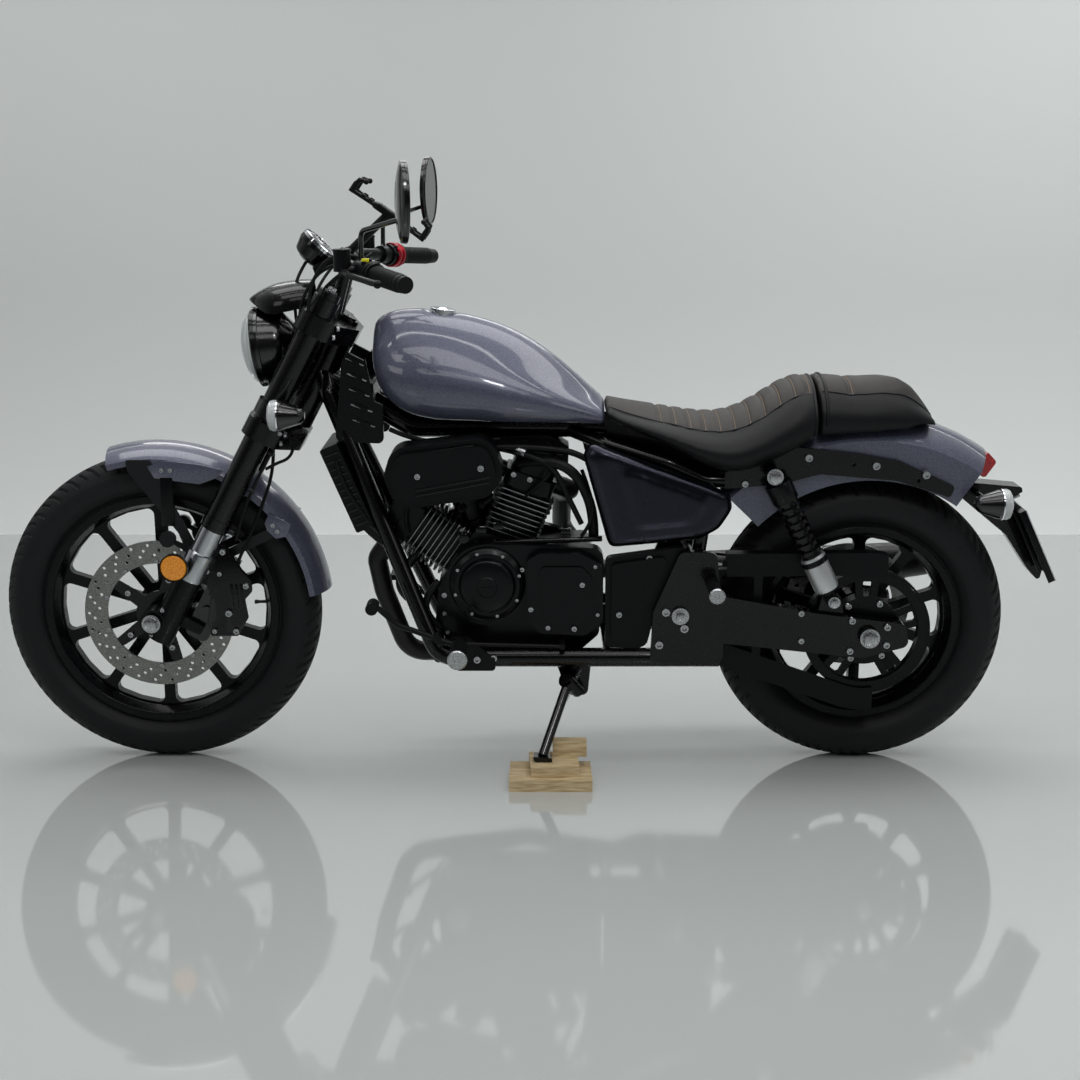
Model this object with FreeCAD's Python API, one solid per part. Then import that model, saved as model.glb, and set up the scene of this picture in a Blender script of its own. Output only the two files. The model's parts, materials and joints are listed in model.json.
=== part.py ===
"""Cruiser motorcycle leaning on its side stand, with a short stack of wood blocks under the stand.

The model is built upright in its own frame: X points rearward, Y points to the rider's right, Z points up,
with Z = 0 on the ground and X = 0 half way between the axles. Every piece is then leaned to the left about the
line where the tyres meet the ground, and moved so that the origin lies at the middle of the footprint.
All sizes are in millimetres, angles in degrees.
"""
import FreeCAD, Part
import os
from math import cos, hypot, pi, radians, sin, sqrt, tan

# ---- driving dimensions -----------------------------------------------------------------------------------
WHEELBASE = 1505.0
FRONT_TYRE_D, FRONT_TYRE_W = 680.0, 110.0
REAR_TYRE_D, REAR_TYRE_W = 630.0, 140.0
FRONT_RIM_D, FRONT_RIM_W = 483.0, 66.0      # bead seat diameter and width between the flanges
REAR_RIM_D, REAR_RIM_W = 406.0, 90.0
LEAN = 7.0                                  # towards the left, onto the side stand
TYRE_LIFT = 0.5                             # the round tread rolls down by this much as the bike leans
ORIGIN_X, ORIGIN_Y = 30.19, -141.3          # middle of the leaned footprint

FIT = 0.3                                   # gap between a pin and its bore, or a piece and its seat
RUN = 6.0                                   # gap between a turning piece and what stands beside it

RAKE = 28.0                                 # of the steering axis, from the vertical
LEG_TRAIL = 25.0                            # fork legs behind the front axle, square to the legs
STEM_BACK = 50.0                            # steering axis behind the fork legs
LEG_SPREAD = 102.0                          # fork leg from the middle
LEG_R, INNER_R = 28.0, 20.5
LEG_TOP = 792.0                             # along the leg, from abreast of the axle
LEG_LOW = 237.0
FOOT_TOP = 178.0
LOWER_CLAMP, UPPER_CLAMP = 455.0, 700.0     # undersides of the clamps, along the leg
CLAMP_T = 40.0
CLAMP_FRONT = 45.0                          # front face of the clamps, ahead of the steering axis
STEM_R, NECK_R = 16.0, 31.0

WALL = 3.0                                  # sheet metal of fenders and covers
AXLE_R = 10.0

PIVOT_X, PIVOT_Z = 355.0, 365.0             # swingarm pivot
ARM_IN, ARM_T = 119.0, 28.0                 # swingarm arm: inner face and thickness
RAIL_R, RAIL_Y, RAIL_Z = 20.0, 139.0, 267.0
PLATE_IN, PLATE_T = 150.0, 10.0             # frame plates outside the swingarm

CRANK_X, CRANK_Z = -35.0, 415.0
FRONT_CYL_TILT, REAR_CYL_TILT = -55.0, 20.0
CYL_START = 95.0                            # from the crank to the foot of each cylinder
FIN_COUNT, FIN_PITCH, FIN_T = 9, 11.5, 3.5
FIN_W, FIN_L = 122.0, 128.0
HEAD_H, ROCKER_H = 38.0, 30.0
CASE_HALF = 80.0

BELT_Y, BELT_W, BELT_T = 100.5, 21.0, 5.0
REAR_PULLEY_R, FRONT_PULLEY_R = 132.0, 44.0
FRONT_PULLEY_X, FRONT_PULLEY_Z = 253.0, 400.0

FRONT_DISC_R, REAR_DISC_R, DISC_T = 160.0, 140.0, 5.0
FRONT_DISC_Y, REAR_DISC_Y = 60.0, 100.0

REAR_FENDER_R, REAR_FENDER_HALF = REAR_TYRE_D / 2 + 138.0, 95.0
TAIL_ANGLE, FENDER_FRONT_ANGLE = 56.0, 136.0    # ends of the rear fender, up from the rear
FRONT_FENDER_R, FRONT_FENDER_HALF = FRONT_TYRE_D / 2 + 26.0, 70.0

TANK_HALF = 135.0
SEAT_HALF = 160.0
GRIP_R, BAR_R = 17.0, 12.7

FRONT_X, FRONT_Z = -WHEELBASE / 2, FRONT_TYRE_D / 2
REAR_X, REAR_Z = WHEELBASE / 2, REAR_TYRE_D / 2


# ---- small tools ------------------------------------------------------------------------------------------
def vec(x, y, z):
    return FreeCAD.Vector(x, y, z)


def rounded_edges(rows, closed):
    """Straight runs through rows of (point, radius), joined by tangent arcs of those radii."""
    count = len(rows)
    marks = []
    for i, (point, radius) in enumerate(rows):
        is_end = not closed and i in (0, count - 1)
        before = (rows[i - 1][0] - point).normalize()
        after = (rows[(i + 1) % count][0] - point).normalize()
        half = before.getAngle(after) / 2
        if is_end or radius <= 0 or half > pi / 2 - 1e-4:
            marks.append((point, None, point))
            continue
        inward = (before + after).normalize()
        middle = point + inward * (radius / sin(half) - radius)
        reach = radius / tan(half)
        marks.append((point + before * reach, middle, point + after * reach))
    edges = []
    for i, (start, middle, end) in enumerate(marks):
        if middle is not None:
            edges.append(Part.Arc(start, middle, end).toShape())
        if closed or i < count - 1:
            nxt = marks[(i + 1) % count][0]
            if (nxt - end).Length > 1e-6:
                edges.append(Part.LineSegment(end, nxt).toShape())
    return edges


def plate(rows, y0, y1):
    """Flat plate from an outline of (x, z, corner radius), standing between y0 and y1."""
    edges = rounded_edges([(vec(x, y0, z), r) for x, z, r in rows], True)
    return Part.Face(Part.Wire(edges)).extrude(vec(0, y1 - y0, 0))


def slab(rows, z0, z1):
    """Flat plate from an outline of (x, y, corner radius), lying between z0 and z1."""
    edges = rounded_edges([(vec(x, y, z0), r) for x, y, r in rows], True)
    return Part.Face(Part.Wire(edges)).extrude(vec(0, 0, z1 - z0))


def box(x0, x1, y0, y1, z0, z1, r=0.0):
    """Box whose four upright edges are rounded by r."""
    return slab([(x0, y0, r), (x1, y0, r), (x1, y1, r), (x0, y1, r)], z0, z1)


def rod(start, end, r):
    """Round bar between two points."""
    start, end = vec(*start), vec(*end)
    return Part.makeCylinder(r, (end - start).Length, start, end - start)


def cross_rod(x, z, y0, y1, r):
    return rod((x, y0, z), (x, y1, z), r)


def tube(rows, r):
    """Round tube along points (x, y, z, bend radius)."""
    edges = rounded_edges([(vec(x, y, z), b) for x, y, z, b in rows], False)
    path = Part.Wire(edges)
    start = edges[0].Vertexes[0].Point
    circle = Part.Circle(start, edges[0].tangentAt(edges[0].FirstParameter), r).toShape()
    return path.makePipeShell([Part.Wire(circle)], True, False)


def placed(shape, start, end):
    """Turn a shape built up the Z axis so that it points from start to end."""
    start, end = vec(*start), vec(*end)
    turn = FreeCAD.Rotation(vec(0, 0, 1), end - start)
    shape.Placement = FreeCAD.Placement(start, turn).multiply(shape.Placement)
    return shape


def outward(solid):
    """The same solid with its faces turned outward."""
    if solid.Volume < 0:
        solid.reverse()
    return solid


def turned(start, end, rows):
    """Body of revolution about the line from start to end; rows are (distance along it, radius, corner)."""
    edges = rounded_edges([(vec(r, 0, d), c) for d, r, c in rows], True)
    solid = Part.Face(Part.Wire(edges)).revolve(vec(0, 0, 0), vec(0, 0, 1), 360)
    return placed(outward(solid), start, end)


def ring_about(x, z, face_edges, first=0.0, sweep=360.0):
    """Revolve a section drawn at (radius, y) about the cross axis at (x, z), angles up from the rear."""
    face = Part.Face(Part.Wire(face_edges))
    face.translate(vec(x, 0, z))
    face.rotate(vec(x, 0, z), vec(0, -1, 0), first)
    return outward(face.revolve(vec(x, 0, z), vec(0, -1, 0), sweep))


def section(rows):
    """Edges of a section from rows of (radius, y, corner)."""
    return rounded_edges([(vec(r, y, 0), c) for r, y, c in rows], True)


def join(*shapes):
    first, rest = shapes[0], list(shapes[1:])
    return first.multiFuse(rest).removeSplitter() if rest else first


def group(*shapes):
    solids = [solid for shape in shapes for solid in shape.Solids]
    return Part.Compound(solids)


def mirrored(shape):
    return shape.mirror(vec(0, 0, 0), vec(0, 1, 0))


def both(shape):
    """A left piece and its right-hand twin."""
    return group(shape, mirrored(shape))


def around(shape, x, z, count, first=0.0):
    """Copies of a shape, evenly turned about the cross axis at (x, z)."""
    copies = []
    for i in range(count):
        copy = shape.copy()
        copy.rotate(vec(x, 0, z), vec(0, -1, 0), first + 360.0 * i / count)
        copies.append(copy)
    return copies


def loft(sections):
    return Part.makeLoft(sections, True, False)


def barrel(x, low, side, top, w_low, w_mid, w_top):
    """Closed cross-section at x: flat underside, one smooth line over sides, shoulders and domed top."""
    mid = (low + side) / 2
    half = [vec(x, w_low, low), vec(x, w_mid, mid), vec(x, w_top, side)]
    points = half + [vec(x, 0, top)] + [vec(x, -p.y, p.z) for p in reversed(half)]
    skin = Part.BSplineCurve()
    skin.interpolate(points)
    return Part.Wire([Part.LineSegment(points[-1], points[0]).toShape(), skin.toShape()])


# ---- steering geometry ------------------------------------------------------------------------------------
ALONG = (sin(radians(RAKE)), cos(radians(RAKE)))       # up the fork, as (x, z)
BACK = (cos(radians(RAKE)), -sin(radians(RAKE)))       # square to the fork, towards the rear


def fork_point(t, back=LEG_TRAIL, y=0.0):
    """Point t up the fork from abreast of the front axle, and so far behind the axle's line."""
    return (FRONT_X + ALONG[0] * t + BACK[0] * back, y, FRONT_Z + ALONG[1] * t + BACK[1] * back)


def _xz(point):
    return point[0], point[2]


def steer_placed(shape):
    """Turn a shape built about a Z axis (X to the rear) onto the steering axis."""
    base = vec(*fork_point(0, LEG_TRAIL + STEM_BACK))
    turn = FreeCAD.Rotation(vec(0, 1, 0), RAKE)
    shape.Placement = FreeCAD.Placement(base, turn).multiply(shape.Placement)
    return shape


STEM = LEG_TRAIL + STEM_BACK
NECK_LOW, NECK_HIGH = LOWER_CLAMP + CLAMP_T + RUN, UPPER_CLAMP - RUN


# ---- wheels -----------------------------------------------------------------------------------------------
def tyre(x, z, diameter, width, rim_d, rim_w):
    """Hollow carcass with a round tread, seated between the rim's flanges."""
    r, bead_r, bead_y = diameter / 2, rim_d / 2 + FIT, rim_w / 2 - FIT
    skin, bead = 9.0, 11.0
    side_r = bead_r + 0.5 * (r - bead_r)
    shoulder_r, shoulder_y = r - 0.30 * (r - bead_r), 0.90 * width / 2
    half = width / 2

    def at(radius, y):
        return vec(radius, y, 0)
    arc, line = Part.Arc, Part.LineSegment
    outer = [line(at(bead_r, bead_y), at(bead_r + 14, bead_y)),
             arc(at(bead_r + 14, bead_y), at(side_r, half), at(shoulder_r, shoulder_y)),
             arc(at(shoulder_r, shoulder_y), at(r, 0), at(shoulder_r, -shoulder_y)),
             arc(at(shoulder_r, -shoulder_y), at(side_r, -half), at(bead_r + 14, -bead_y)),
             line(at(bead_r + 14, -bead_y), at(bead_r, -bead_y)),
             line(at(bead_r, -bead_y), at(bead_r, bead - bead_y))]
    inner = [line(at(bead_r, bead - bead_y), at(bead_r + 14, bead - bead_y)),
             arc(at(bead_r + 14, bead - bead_y), at(side_r, skin - half),
                 at(shoulder_r - 2, skin - shoulder_y)),
             arc(at(shoulder_r - 2, skin - shoulder_y), at(r - skin, 0),
                 at(shoulder_r - 2, shoulder_y - skin)),
             arc(at(shoulder_r - 2, shoulder_y - skin), at(side_r, half - skin),
                 at(bead_r + 14, bead_y - bead)),
             line(at(bead_r + 14, bead_y - bead), at(bead_r, bead_y - bead)),
             line(at(bead_r, bead_y - bead), at(bead_r, bead_y))]
    return ring_about(x, z, [curve.toShape() for curve in outer + inner])


FLANGE_H, FLANGE_T, WELL_DROP, RIM_T = 11.0, 6.0, 11.0, 6.0
SPOKES, SPOKE_W, SPOKE_T = 10, 22.0, 22.0
HUB_R = 44.0


def cast_wheel(x, z, rim_d, rim_w, hub_half):
    """Rim with a dropped well, a hub and ten flat spokes, cast in one piece."""
    seat, half = rim_d / 2, rim_w / 2
    well = seat - WELL_DROP
    out = half + FLANGE_T
    well_half = half - 16.0
    rim = ring_about(x, z, section([
        (seat + FLANGE_H, half, 0), (seat + FLANGE_H, out, 2), (seat - RIM_T, out, 5),
        (well - RIM_T, well_half, 6), (well - RIM_T, -well_half, 6), (seat - RIM_T, -out, 5),
        (seat + FLANGE_H, -out, 2), (seat + FLANGE_H, -half, 0), (seat, -half, 0), (seat, -half + 8, 0),
        (well, -well_half + 4, 0), (well, well_half - 4, 0), (seat, half - 8, 0), (seat, half, 0)]))
    web_r = well - RIM_T + 1.0
    web = cross_rod(x, z, -SPOKE_T / 2, SPOKE_T / 2, web_r)
    hub = cross_rod(x, z, -hub_half, hub_half, HUB_R)
    inner, outer = HUB_R + 14.0, well - RIM_T - 4.0
    step = pi / SPOKES
    near = inner * sin(step) - SPOKE_W / 2
    far = outer * sin(step) - SPOKE_W / 2
    window = plate([(x + inner, z - near, 3), (x + outer * cos(step * 0.7), z - far, 14),
                    (x + outer, z, 40), (x + outer * cos(step * 0.7), z + far, 14),
                    (x + inner, z + near, 3)], -SPOKE_T, SPOKE_T)
    wheel = join(rim, web.cut(around(window, x, z, SPOKES, 90.0 + 180.0 / SPOKES)), hub)
    return wheel.cut(cross_rod(x, z, -hub_half - 1, hub_half + 1, AXLE_R + FIT))


FRONT_HUB, REAR_HUB = 52.0, 70.0


def disc(x, z, radius, y, holes):
    """Drilled ring with a carrier plate that is bored to clear the hub."""
    blank = cross_rod(x, z, y - DISC_T / 2, y + DISC_T / 2, radius)
    inner = radius - 38.0
    ring = blank.cut(cross_rod(x, z, y - DISC_T, y + DISC_T, inner))
    hole = cross_rod(x + radius - 19.0, z, y - DISC_T, y + DISC_T, 5.0)
    ring = ring.cut(around(hole, x, z, holes))
    arm = plate([(x + 30, z - 16, 0), (x + inner + 6, z - 9, 4), (x + inner + 6, z + 9, 4),
                 (x + 30, z + 16, 0)],
                y - DISC_T / 2, y + DISC_T / 2)
    carrier = cross_rod(x, z, y - DISC_T / 2, y + DISC_T / 2, HUB_R + 6)
    return join(ring, carrier, *around(arm, x, z, 5))


def front_disc():
    bore = cross_rod(FRONT_X, FRONT_Z, -FRONT_DISC_Y - 20, FRONT_DISC_Y, AXLE_R + 8.0)
    spacer = cross_rod(FRONT_X, FRONT_Z, -FRONT_DISC_Y, -FRONT_HUB - FIT, HUB_R - 4)
    return join(disc(FRONT_X, FRONT_Z, FRONT_DISC_R, -FRONT_DISC_Y, 20), spacer).cut(bore)


def rear_disc():
    bore = cross_rod(REAR_X, REAR_Z, 0, REAR_DISC_Y + 20, AXLE_R + 10.0)
    spacer = cross_rod(REAR_X, REAR_Z, REAR_HUB + FIT, REAR_DISC_Y, HUB_R - 4)
    return join(disc(REAR_X, REAR_Z, REAR_DISC_R, REAR_DISC_Y, 18), spacer).cut(bore)


def rear_pulley():
    """Toothed belt wheel: a broad ring, five split spokes and a bolted boss against the hub."""
    y0, y1 = -BELT_Y - BELT_W / 2 - 0.5, -BELT_Y + BELT_W / 2 + 2
    ring = cross_rod(REAR_X, REAR_Z, y0, y1, REAR_PULLEY_R)
    ring = ring.cut(cross_rod(REAR_X, REAR_Z, y0 - 1, y1 + 1, REAR_PULLEY_R - 20))
    boss = cross_rod(REAR_X, REAR_Z, -BELT_Y - 5, -REAR_HUB - FIT, 74.0)
    arm = plate([(REAR_X + 66, REAR_Z - 22, 0), (REAR_X + REAR_PULLEY_R - 15, REAR_Z - 26, 0),
                 (REAR_X + REAR_PULLEY_R - 15, REAR_Z + 26, 0), (REAR_X + 66, REAR_Z + 22, 0)],
                -BELT_Y - 5, -BELT_Y + 5)
    slot = plate([(REAR_X + 76, REAR_Z - 7, 3), (REAR_X + REAR_PULLEY_R - 24, REAR_Z - 11, 5),
                  (REAR_X + REAR_PULLEY_R - 24, REAR_Z + 11, 5), (REAR_X + 76, REAR_Z + 7, 3)],
                 -BELT_Y - 12, -BELT_Y + 12)
    wheel = join(ring, boss, *around(arm.cut(slot), REAR_X, REAR_Z, 5, 90.0))
    return wheel.cut(cross_rod(REAR_X, REAR_Z, y0 - 9, 0, AXLE_R + 10.0))


# ---- fork and steering ------------------------------------------------------------------------------------
def fork_outers():
    """Upper tubes, each bored from below for its sliding tube, with a stepped cap at the top."""
    leg = rod(fork_point(LEG_LOW, y=-LEG_SPREAD), fork_point(LEG_TOP - 14, y=-LEG_SPREAD), LEG_R)
    collar = rod(fork_point(LEG_LOW, y=-LEG_SPREAD), fork_point(LEG_LOW + 26, y=-LEG_SPREAD), LEG_R + 1.5)
    cap = rod(fork_point(LEG_TOP - 14, y=-LEG_SPREAD), fork_point(LEG_TOP, y=-LEG_SPREAD), LEG_R - 5)
    bore = rod(fork_point(LEG_LOW - 1, y=-LEG_SPREAD), fork_point(LEG_LOW + 170, y=-LEG_SPREAD),
               INNER_R + FIT)
    return both(join(leg, collar, cap).cut(bore))


def fork_inners():
    start, end = fork_point(FOOT_TOP - 60, y=-LEG_SPREAD), fork_point(LEG_LOW + 150, y=-LEG_SPREAD)
    return both(rod(start, end, INNER_R))


FOOT_IN, FOOT_OUT = 70.0, 131.5             # faces of the axle bosses
CALIPER_BACK = 62.0                         # caliper bolts behind the leg
LUG_T = (20.0, 128.0)                       # caliper lugs, up the leg
LUG_IN = FRONT_DISC_Y + 24                  # inner face of the lugs


def fork_foot():
    """Axle boss ahead of the leg, the socket for the sliding tube, and two lugs behind it."""
    socket = rod(fork_point(-34, y=-LEG_SPREAD), fork_point(FOOT_TOP, y=-LEG_SPREAD), LEG_R + 1)
    boss = cross_rod(FRONT_X, FRONT_Z, -FOOT_OUT, -FOOT_IN, 27.0)
    lugs = []
    for t in LUG_T:
        corners = [fork_point(t - 13, LEG_TRAIL + 8), fork_point(t + 13, LEG_TRAIL + 8),
                   fork_point(t + 10, LEG_TRAIL + CALIPER_BACK + 12),
                   fork_point(t - 10, LEG_TRAIL + CALIPER_BACK + 12)]
        lugs.append(plate([(*_xz(corner), 4) for corner in corners], -LUG_IN - 14, -LUG_IN))
    foot = join(socket, boss, *lugs)
    foot = foot.cut(cross_rod(FRONT_X, FRONT_Z, -200, -50, AXLE_R + FIT))
    deep = rod(fork_point(FOOT_TOP - 62, y=-LEG_SPREAD), fork_point(FOOT_TOP + 1, y=-LEG_SPREAD),
               INNER_R + FIT)
    return foot.cut(deep)


def fork_feet():
    return both(fork_foot())


def front_axle():
    """Axle with a head at each end and the two spacers that hold the wheel off the fork feet."""
    pin = cross_rod(FRONT_X, FRONT_Z, -FOOT_OUT - 8, FOOT_OUT + 8, AXLE_R)
    heads = [cross_rod(FRONT_X, FRONT_Z, y, y + 8, AXLE_R + 7) for y in (-FOOT_OUT - 8.3, FOOT_OUT + 0.3)]
    left = cross_rod(FRONT_X, FRONT_Z, -FOOT_IN + FIT, -FRONT_HUB - FIT, AXLE_R + 5)
    right = cross_rod(FRONT_X, FRONT_Z, FRONT_HUB + FIT, FOOT_IN - FIT, AXLE_R + 5)
    return join(pin, left, right, *heads)


def clamp_plate(low):
    """Triple clamp built about the steering axis: the outline wraps the two legs and the stem."""
    outline = [(-STEM_BACK - 38, -LEG_SPREAD - 38, 34), (-STEM_BACK - 38, -LEG_SPREAD + 40, 20),
               (-CLAMP_FRONT, -50, 16), (-CLAMP_FRONT, 50, 16), (-STEM_BACK - 38, LEG_SPREAD - 40, 20),
               (-STEM_BACK - 38, LEG_SPREAD + 38, 34), (-STEM_BACK + 38, LEG_SPREAD + 38, 30),
               (34, 38, 30), (34, -38, 30), (-STEM_BACK + 38, -LEG_SPREAD - 38, 30)]
    solid = slab(outline, low, low + CLAMP_T)
    for side in (-1, 1):
        hole = rod((-STEM_BACK, side * LEG_SPREAD, low - 1),
                   (-STEM_BACK, side * LEG_SPREAD, low + CLAMP_T + 1),
                   LEG_R + FIT)
        solid = solid.cut(hole)
    return solid


def triple_clamps():
    """Both clamps on the steering stem, with the two posts that carry the handlebar."""
    lower, upper = clamp_plate(LOWER_CLAMP), clamp_plate(UPPER_CLAMP)
    stem = rod((0, 0, LOWER_CLAMP + 1), (0, 0, UPPER_CLAMP + CLAMP_T + 12), STEM_R)
    nut = rod((0, 0, UPPER_CLAMP + CLAMP_T), (0, 0, UPPER_CLAMP + CLAMP_T + 8), STEM_R + 7)
    yoke = steer_placed(join(lower, upper, stem, nut))
    posts = []
    for side in (-1, 1):
        foot = fork_point(UPPER_CLAMP + CLAMP_T - 4, STEM - 26, side * RISER_Y)
        posts.append(rod(foot, (BAR_X, side * RISER_Y, BAR_Z - BAR_R - FIT - 4), 13.0))
        cap = cross_rod(BAR_X, BAR_Z, side * RISER_Y - 15, side * RISER_Y + 15, 22.0)
        posts.append(cap)
    grip = join(yoke, *posts)
    return grip.cut(cross_rod(BAR_X, BAR_Z, -60, 60, BAR_R + FIT))


BAR_X, BAR_Z = FRONT_X + 418.5, FRONT_Z + 748.0               # middle of the handlebar
RISER_Y = 34.0
BAR_END_X, BAR_END_Y, BAR_END_Z = FRONT_X + 561.5, 372.0, FRONT_Z + 727.0
BAR_KNEE_Y = 133.0
GRIP_L = 120.0


def bar_point(back):
    """Point on the left half of the bar, so far in from its end."""
    run = vec(BAR_X, -BAR_KNEE_Y, BAR_Z) - vec(BAR_END_X, -BAR_END_Y, BAR_END_Z)
    spot = vec(BAR_END_X, -BAR_END_Y, BAR_END_Z) + run * (back / run.Length)
    return (spot.x, spot.y, spot.z)


def handlebar():
    rows = [(BAR_END_X, -BAR_END_Y, BAR_END_Z, 0), (BAR_X, -BAR_KNEE_Y, BAR_Z, 70),
            (BAR_X, BAR_KNEE_Y, BAR_Z, 70), (BAR_END_X, BAR_END_Y, BAR_END_Z, 0)]
    return tube(rows, BAR_R)


def sleeve(back0, back1, r, bore=BAR_R + FIT):
    """Sleeve on the left half of the bar, between two distances from its end."""
    whole = rod(bar_point(back0), bar_point(back1), r)
    return whole.cut(rod(bar_point(back0 - 1), bar_point(back1 + 1), bore))


def grips():
    body = join(sleeve(2, GRIP_L, GRIP_R), sleeve(GRIP_L - 6, GRIP_L, GRIP_R + 5))
    weight = rod(bar_point(-FIT), bar_point(-14), GRIP_R - 1)
    cap = rod(bar_point(2 - FIT), bar_point(-1), GRIP_R)
    cap = cap.cut(rod(bar_point(3), bar_point(-FIT), BAR_R + FIT))
    return both(join(body, cap, weight))


LEVER_R, LEVER_OUT = 6.0, 52.0              # lever bar, and how far it stands ahead of the grip
SWITCH_L = 42.0


def ahead(point, forward, up=0.0):
    """Move a point on the bar forward, square to the bar in plan."""
    run = vec(BAR_X, -BAR_KNEE_Y, 0) - vec(BAR_END_X, -BAR_END_Y, 0)
    run.normalize()
    return (point[0] - forward * abs(run.y), point[1] - forward * abs(run.x), point[2] + up)


def hand_controls():
    """On each side a switch housing, a lever perch with its reservoir, and the lever ahead of the grip."""
    start = GRIP_L + 3
    housing = sleeve(start, start + SWITCH_L, 23.0)
    perch = sleeve(start + SWITCH_L + FIT, start + SWITCH_L + 26, 19.0)
    mid = start + SWITCH_L + 13
    arm = rod(ahead(bar_point(mid), BAR_R + 2), ahead(bar_point(mid), 46), 9.0)
    pot = rod(ahead(bar_point(mid + 9), 37, -2), ahead(bar_point(mid + 9), 37, 36), 17.0)
    knee = ahead(bar_point(mid), 40)
    tip = ahead(bar_point(10), LEVER_OUT - 6)
    bend = ahead(bar_point(start), LEVER_OUT)
    rows = [(*knee, 0), (*bend, 30), (*tip, 0)]
    lever = join(tube(rows, LEVER_R), placed(Part.makeSphere(8.0), tip, ahead(bar_point(0), LEVER_OUT)))
    return both(group(housing, join(perch, arm, pot, lever)))


MIRROR_X, MIRROR_Y, MIRROR_Z = FRONT_X + 556.5, 348.0, FRONT_Z + 874.0
MIRROR_H, MIRROR_W, MIRROR_T = 150.0, 104.0, 24.0


def mirrors():
    """Oval mirrors on thin stems that rise from the lever perches."""
    foot_back = GRIP_L + 3 + SWITCH_L + 13
    foot = bar_point(foot_back)
    foot = (foot[0], foot[1], foot[2] + 19.0 + FIT)
    rows = [(*foot, 0), (foot[0], foot[1] - 6, foot[2] + 55, 22),
            (MIRROR_X - 6, -MIRROR_Y, MIRROR_Z - 28, 0)]
    stem = tube(rows, 5.0)
    disc_shape = Part.makeCylinder(MIRROR_H / 2, MIRROR_T, vec(0, 0, 0), vec(1, 0, 0))
    disc_shape = disc_shape.makeChamfer(6.0, [e for e in disc_shape.Edges if e.BoundBox.XLength < 0.1][:1])
    squeeze = FreeCAD.Matrix()
    squeeze.scale(1, MIRROR_W / MIRROR_H, 1)
    oval = disc_shape.transformGeometry(squeeze)
    oval.rotate(vec(0, 0, 0), vec(0, 0, 1), 12)
    oval.translate(vec(MIRROR_X - MIRROR_T / 2, -MIRROR_Y, MIRROR_Z))
    return both(join(stem, oval))


HEADLIGHT_X, HEADLIGHT_Z, HEADLIGHT_R = FRONT_X + 228.5, FRONT_Z + 565.0, 82.0
HEADLIGHT_DIP = 7.0


def headlight_axis(distance):
    """Point behind the headlight's rim, along its slightly dipped axis."""
    return (HEADLIGHT_X + distance * cos(radians(HEADLIGHT_DIP)), 0,
            HEADLIGHT_Z + distance * sin(radians(HEADLIGHT_DIP)))


def headlight_shell():
    """Deep bowl with a rolled rim, hung from two ears on a bracket that bolts to the lower clamp."""
    start, end = headlight_axis(0), headlight_axis(10)
    r = HEADLIGHT_R
    bowl = turned(start, end, [(0, 0, 0), (0, r - 6, 0), (-6, r - 4, 0), (-6, r, 2), (12, r, 2),
                               (12, r - 3, 0),
                               (52, r - 10, 30), (84, r - 48, 30), (84, 0, 0)])
    back = headlight_axis(78)
    yoke_face = STEM - CLAMP_FRONT - FIT
    stay = plate([(back[0], back[2] - 18, 0), (back[0] - 12, back[2] + 24, 6),
                  (*_xz(fork_point(UPPER_CLAMP + 30, yoke_face)), 0),
                  (*_xz(fork_point(UPPER_CLAMP + 2, yoke_face)), 0)], -28, 28)
    return join(bowl, stay)


def headlight_lens():
    start, end = headlight_axis(-FIT), headlight_axis(-10)
    r = HEADLIGHT_R - 6.5
    return turned(start, end, [(0, 0, 0), (0, r, 0), (5, r, 2), (12, r * 0.62, 60), (16, 0, 0)])


VISOR_T = 4.0


def headlight_visor():
    """Small cowl above the lamp: a curved shell with a raised rear edge."""
    def rib(x, z, half, rise):
        p = [vec(x, -half, z), vec(x, 0, z + rise), vec(x, half, z)]
        q = [vec(x, half, z - VISOR_T), vec(x, 0, z + rise - VISOR_T), vec(x, -half, z - VISOR_T)]
        return Part.Wire([Part.Arc(*p).toShape(), Part.LineSegment(p[2], q[0]).toShape(),
                          Part.Arc(*q).toShape(),
                          Part.LineSegment(q[2], p[0]).toShape()])
    shell = Part.makeLoft([rib(HEADLIGHT_X - 14, HEADLIGHT_Z + 83, 42, 12),
                           rib(HEADLIGHT_X + 40, HEADLIGHT_Z + 90, 74, 26),
                           rib(HEADLIGHT_X + 104, HEADLIGHT_Z + 106, 62, 34)], True, False)
    top = headlight_axis(40)
    stand = rod((top[0], 0, top[2] + HEADLIGHT_R - 8.0 + FIT), (top[0], 0, HEADLIGHT_Z + 113), 12.0)
    return join(shell, stand)


GAUGE_X, GAUGE_Z, GAUGE_R, GAUGE_T = FRONT_X + 363.5, FRONT_Z + 777.0, 43.0, 46.0


def gauge():
    """Round dial tipped back towards the rider, on a bracket from the handlebar posts."""
    face = (GAUGE_X, 0, GAUGE_Z)
    behind = (GAUGE_X - 10, 0, GAUGE_Z - 10)
    body = turned(face, behind, [(0, 0, 0), (0, GAUGE_R - 5, 0), (-3, GAUGE_R - 3, 0), (-3, GAUGE_R, 2),
                                 (14, GAUGE_R, 2), (GAUGE_T - 6, GAUGE_R - 10, 12), (GAUGE_T, 18,
                                                                                     4), (GAUGE_T, 0, 0)])
    reach = BAR_X - 22.0 - FIT
    arm = plate([(reach - 40, GAUGE_Z - 62, 3), (reach, BAR_Z - 12, 2), (reach, BAR_Z + 8, 2),
                 (reach - 44, GAUGE_Z - 40, 3)], -RISER_Y - 12, -RISER_Y + 12)
    strap = plate([(reach - 40, GAUGE_Z - 62, 3), (reach - 28, GAUGE_Z - 56, 3),
                   (reach - 34, GAUGE_Z - 36, 3),
                   (reach - 46, GAUGE_Z - 44, 3)], -RISER_Y - 12, RISER_Y + 12)
    return join(body, arm, mirrored(arm), strap)


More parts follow.
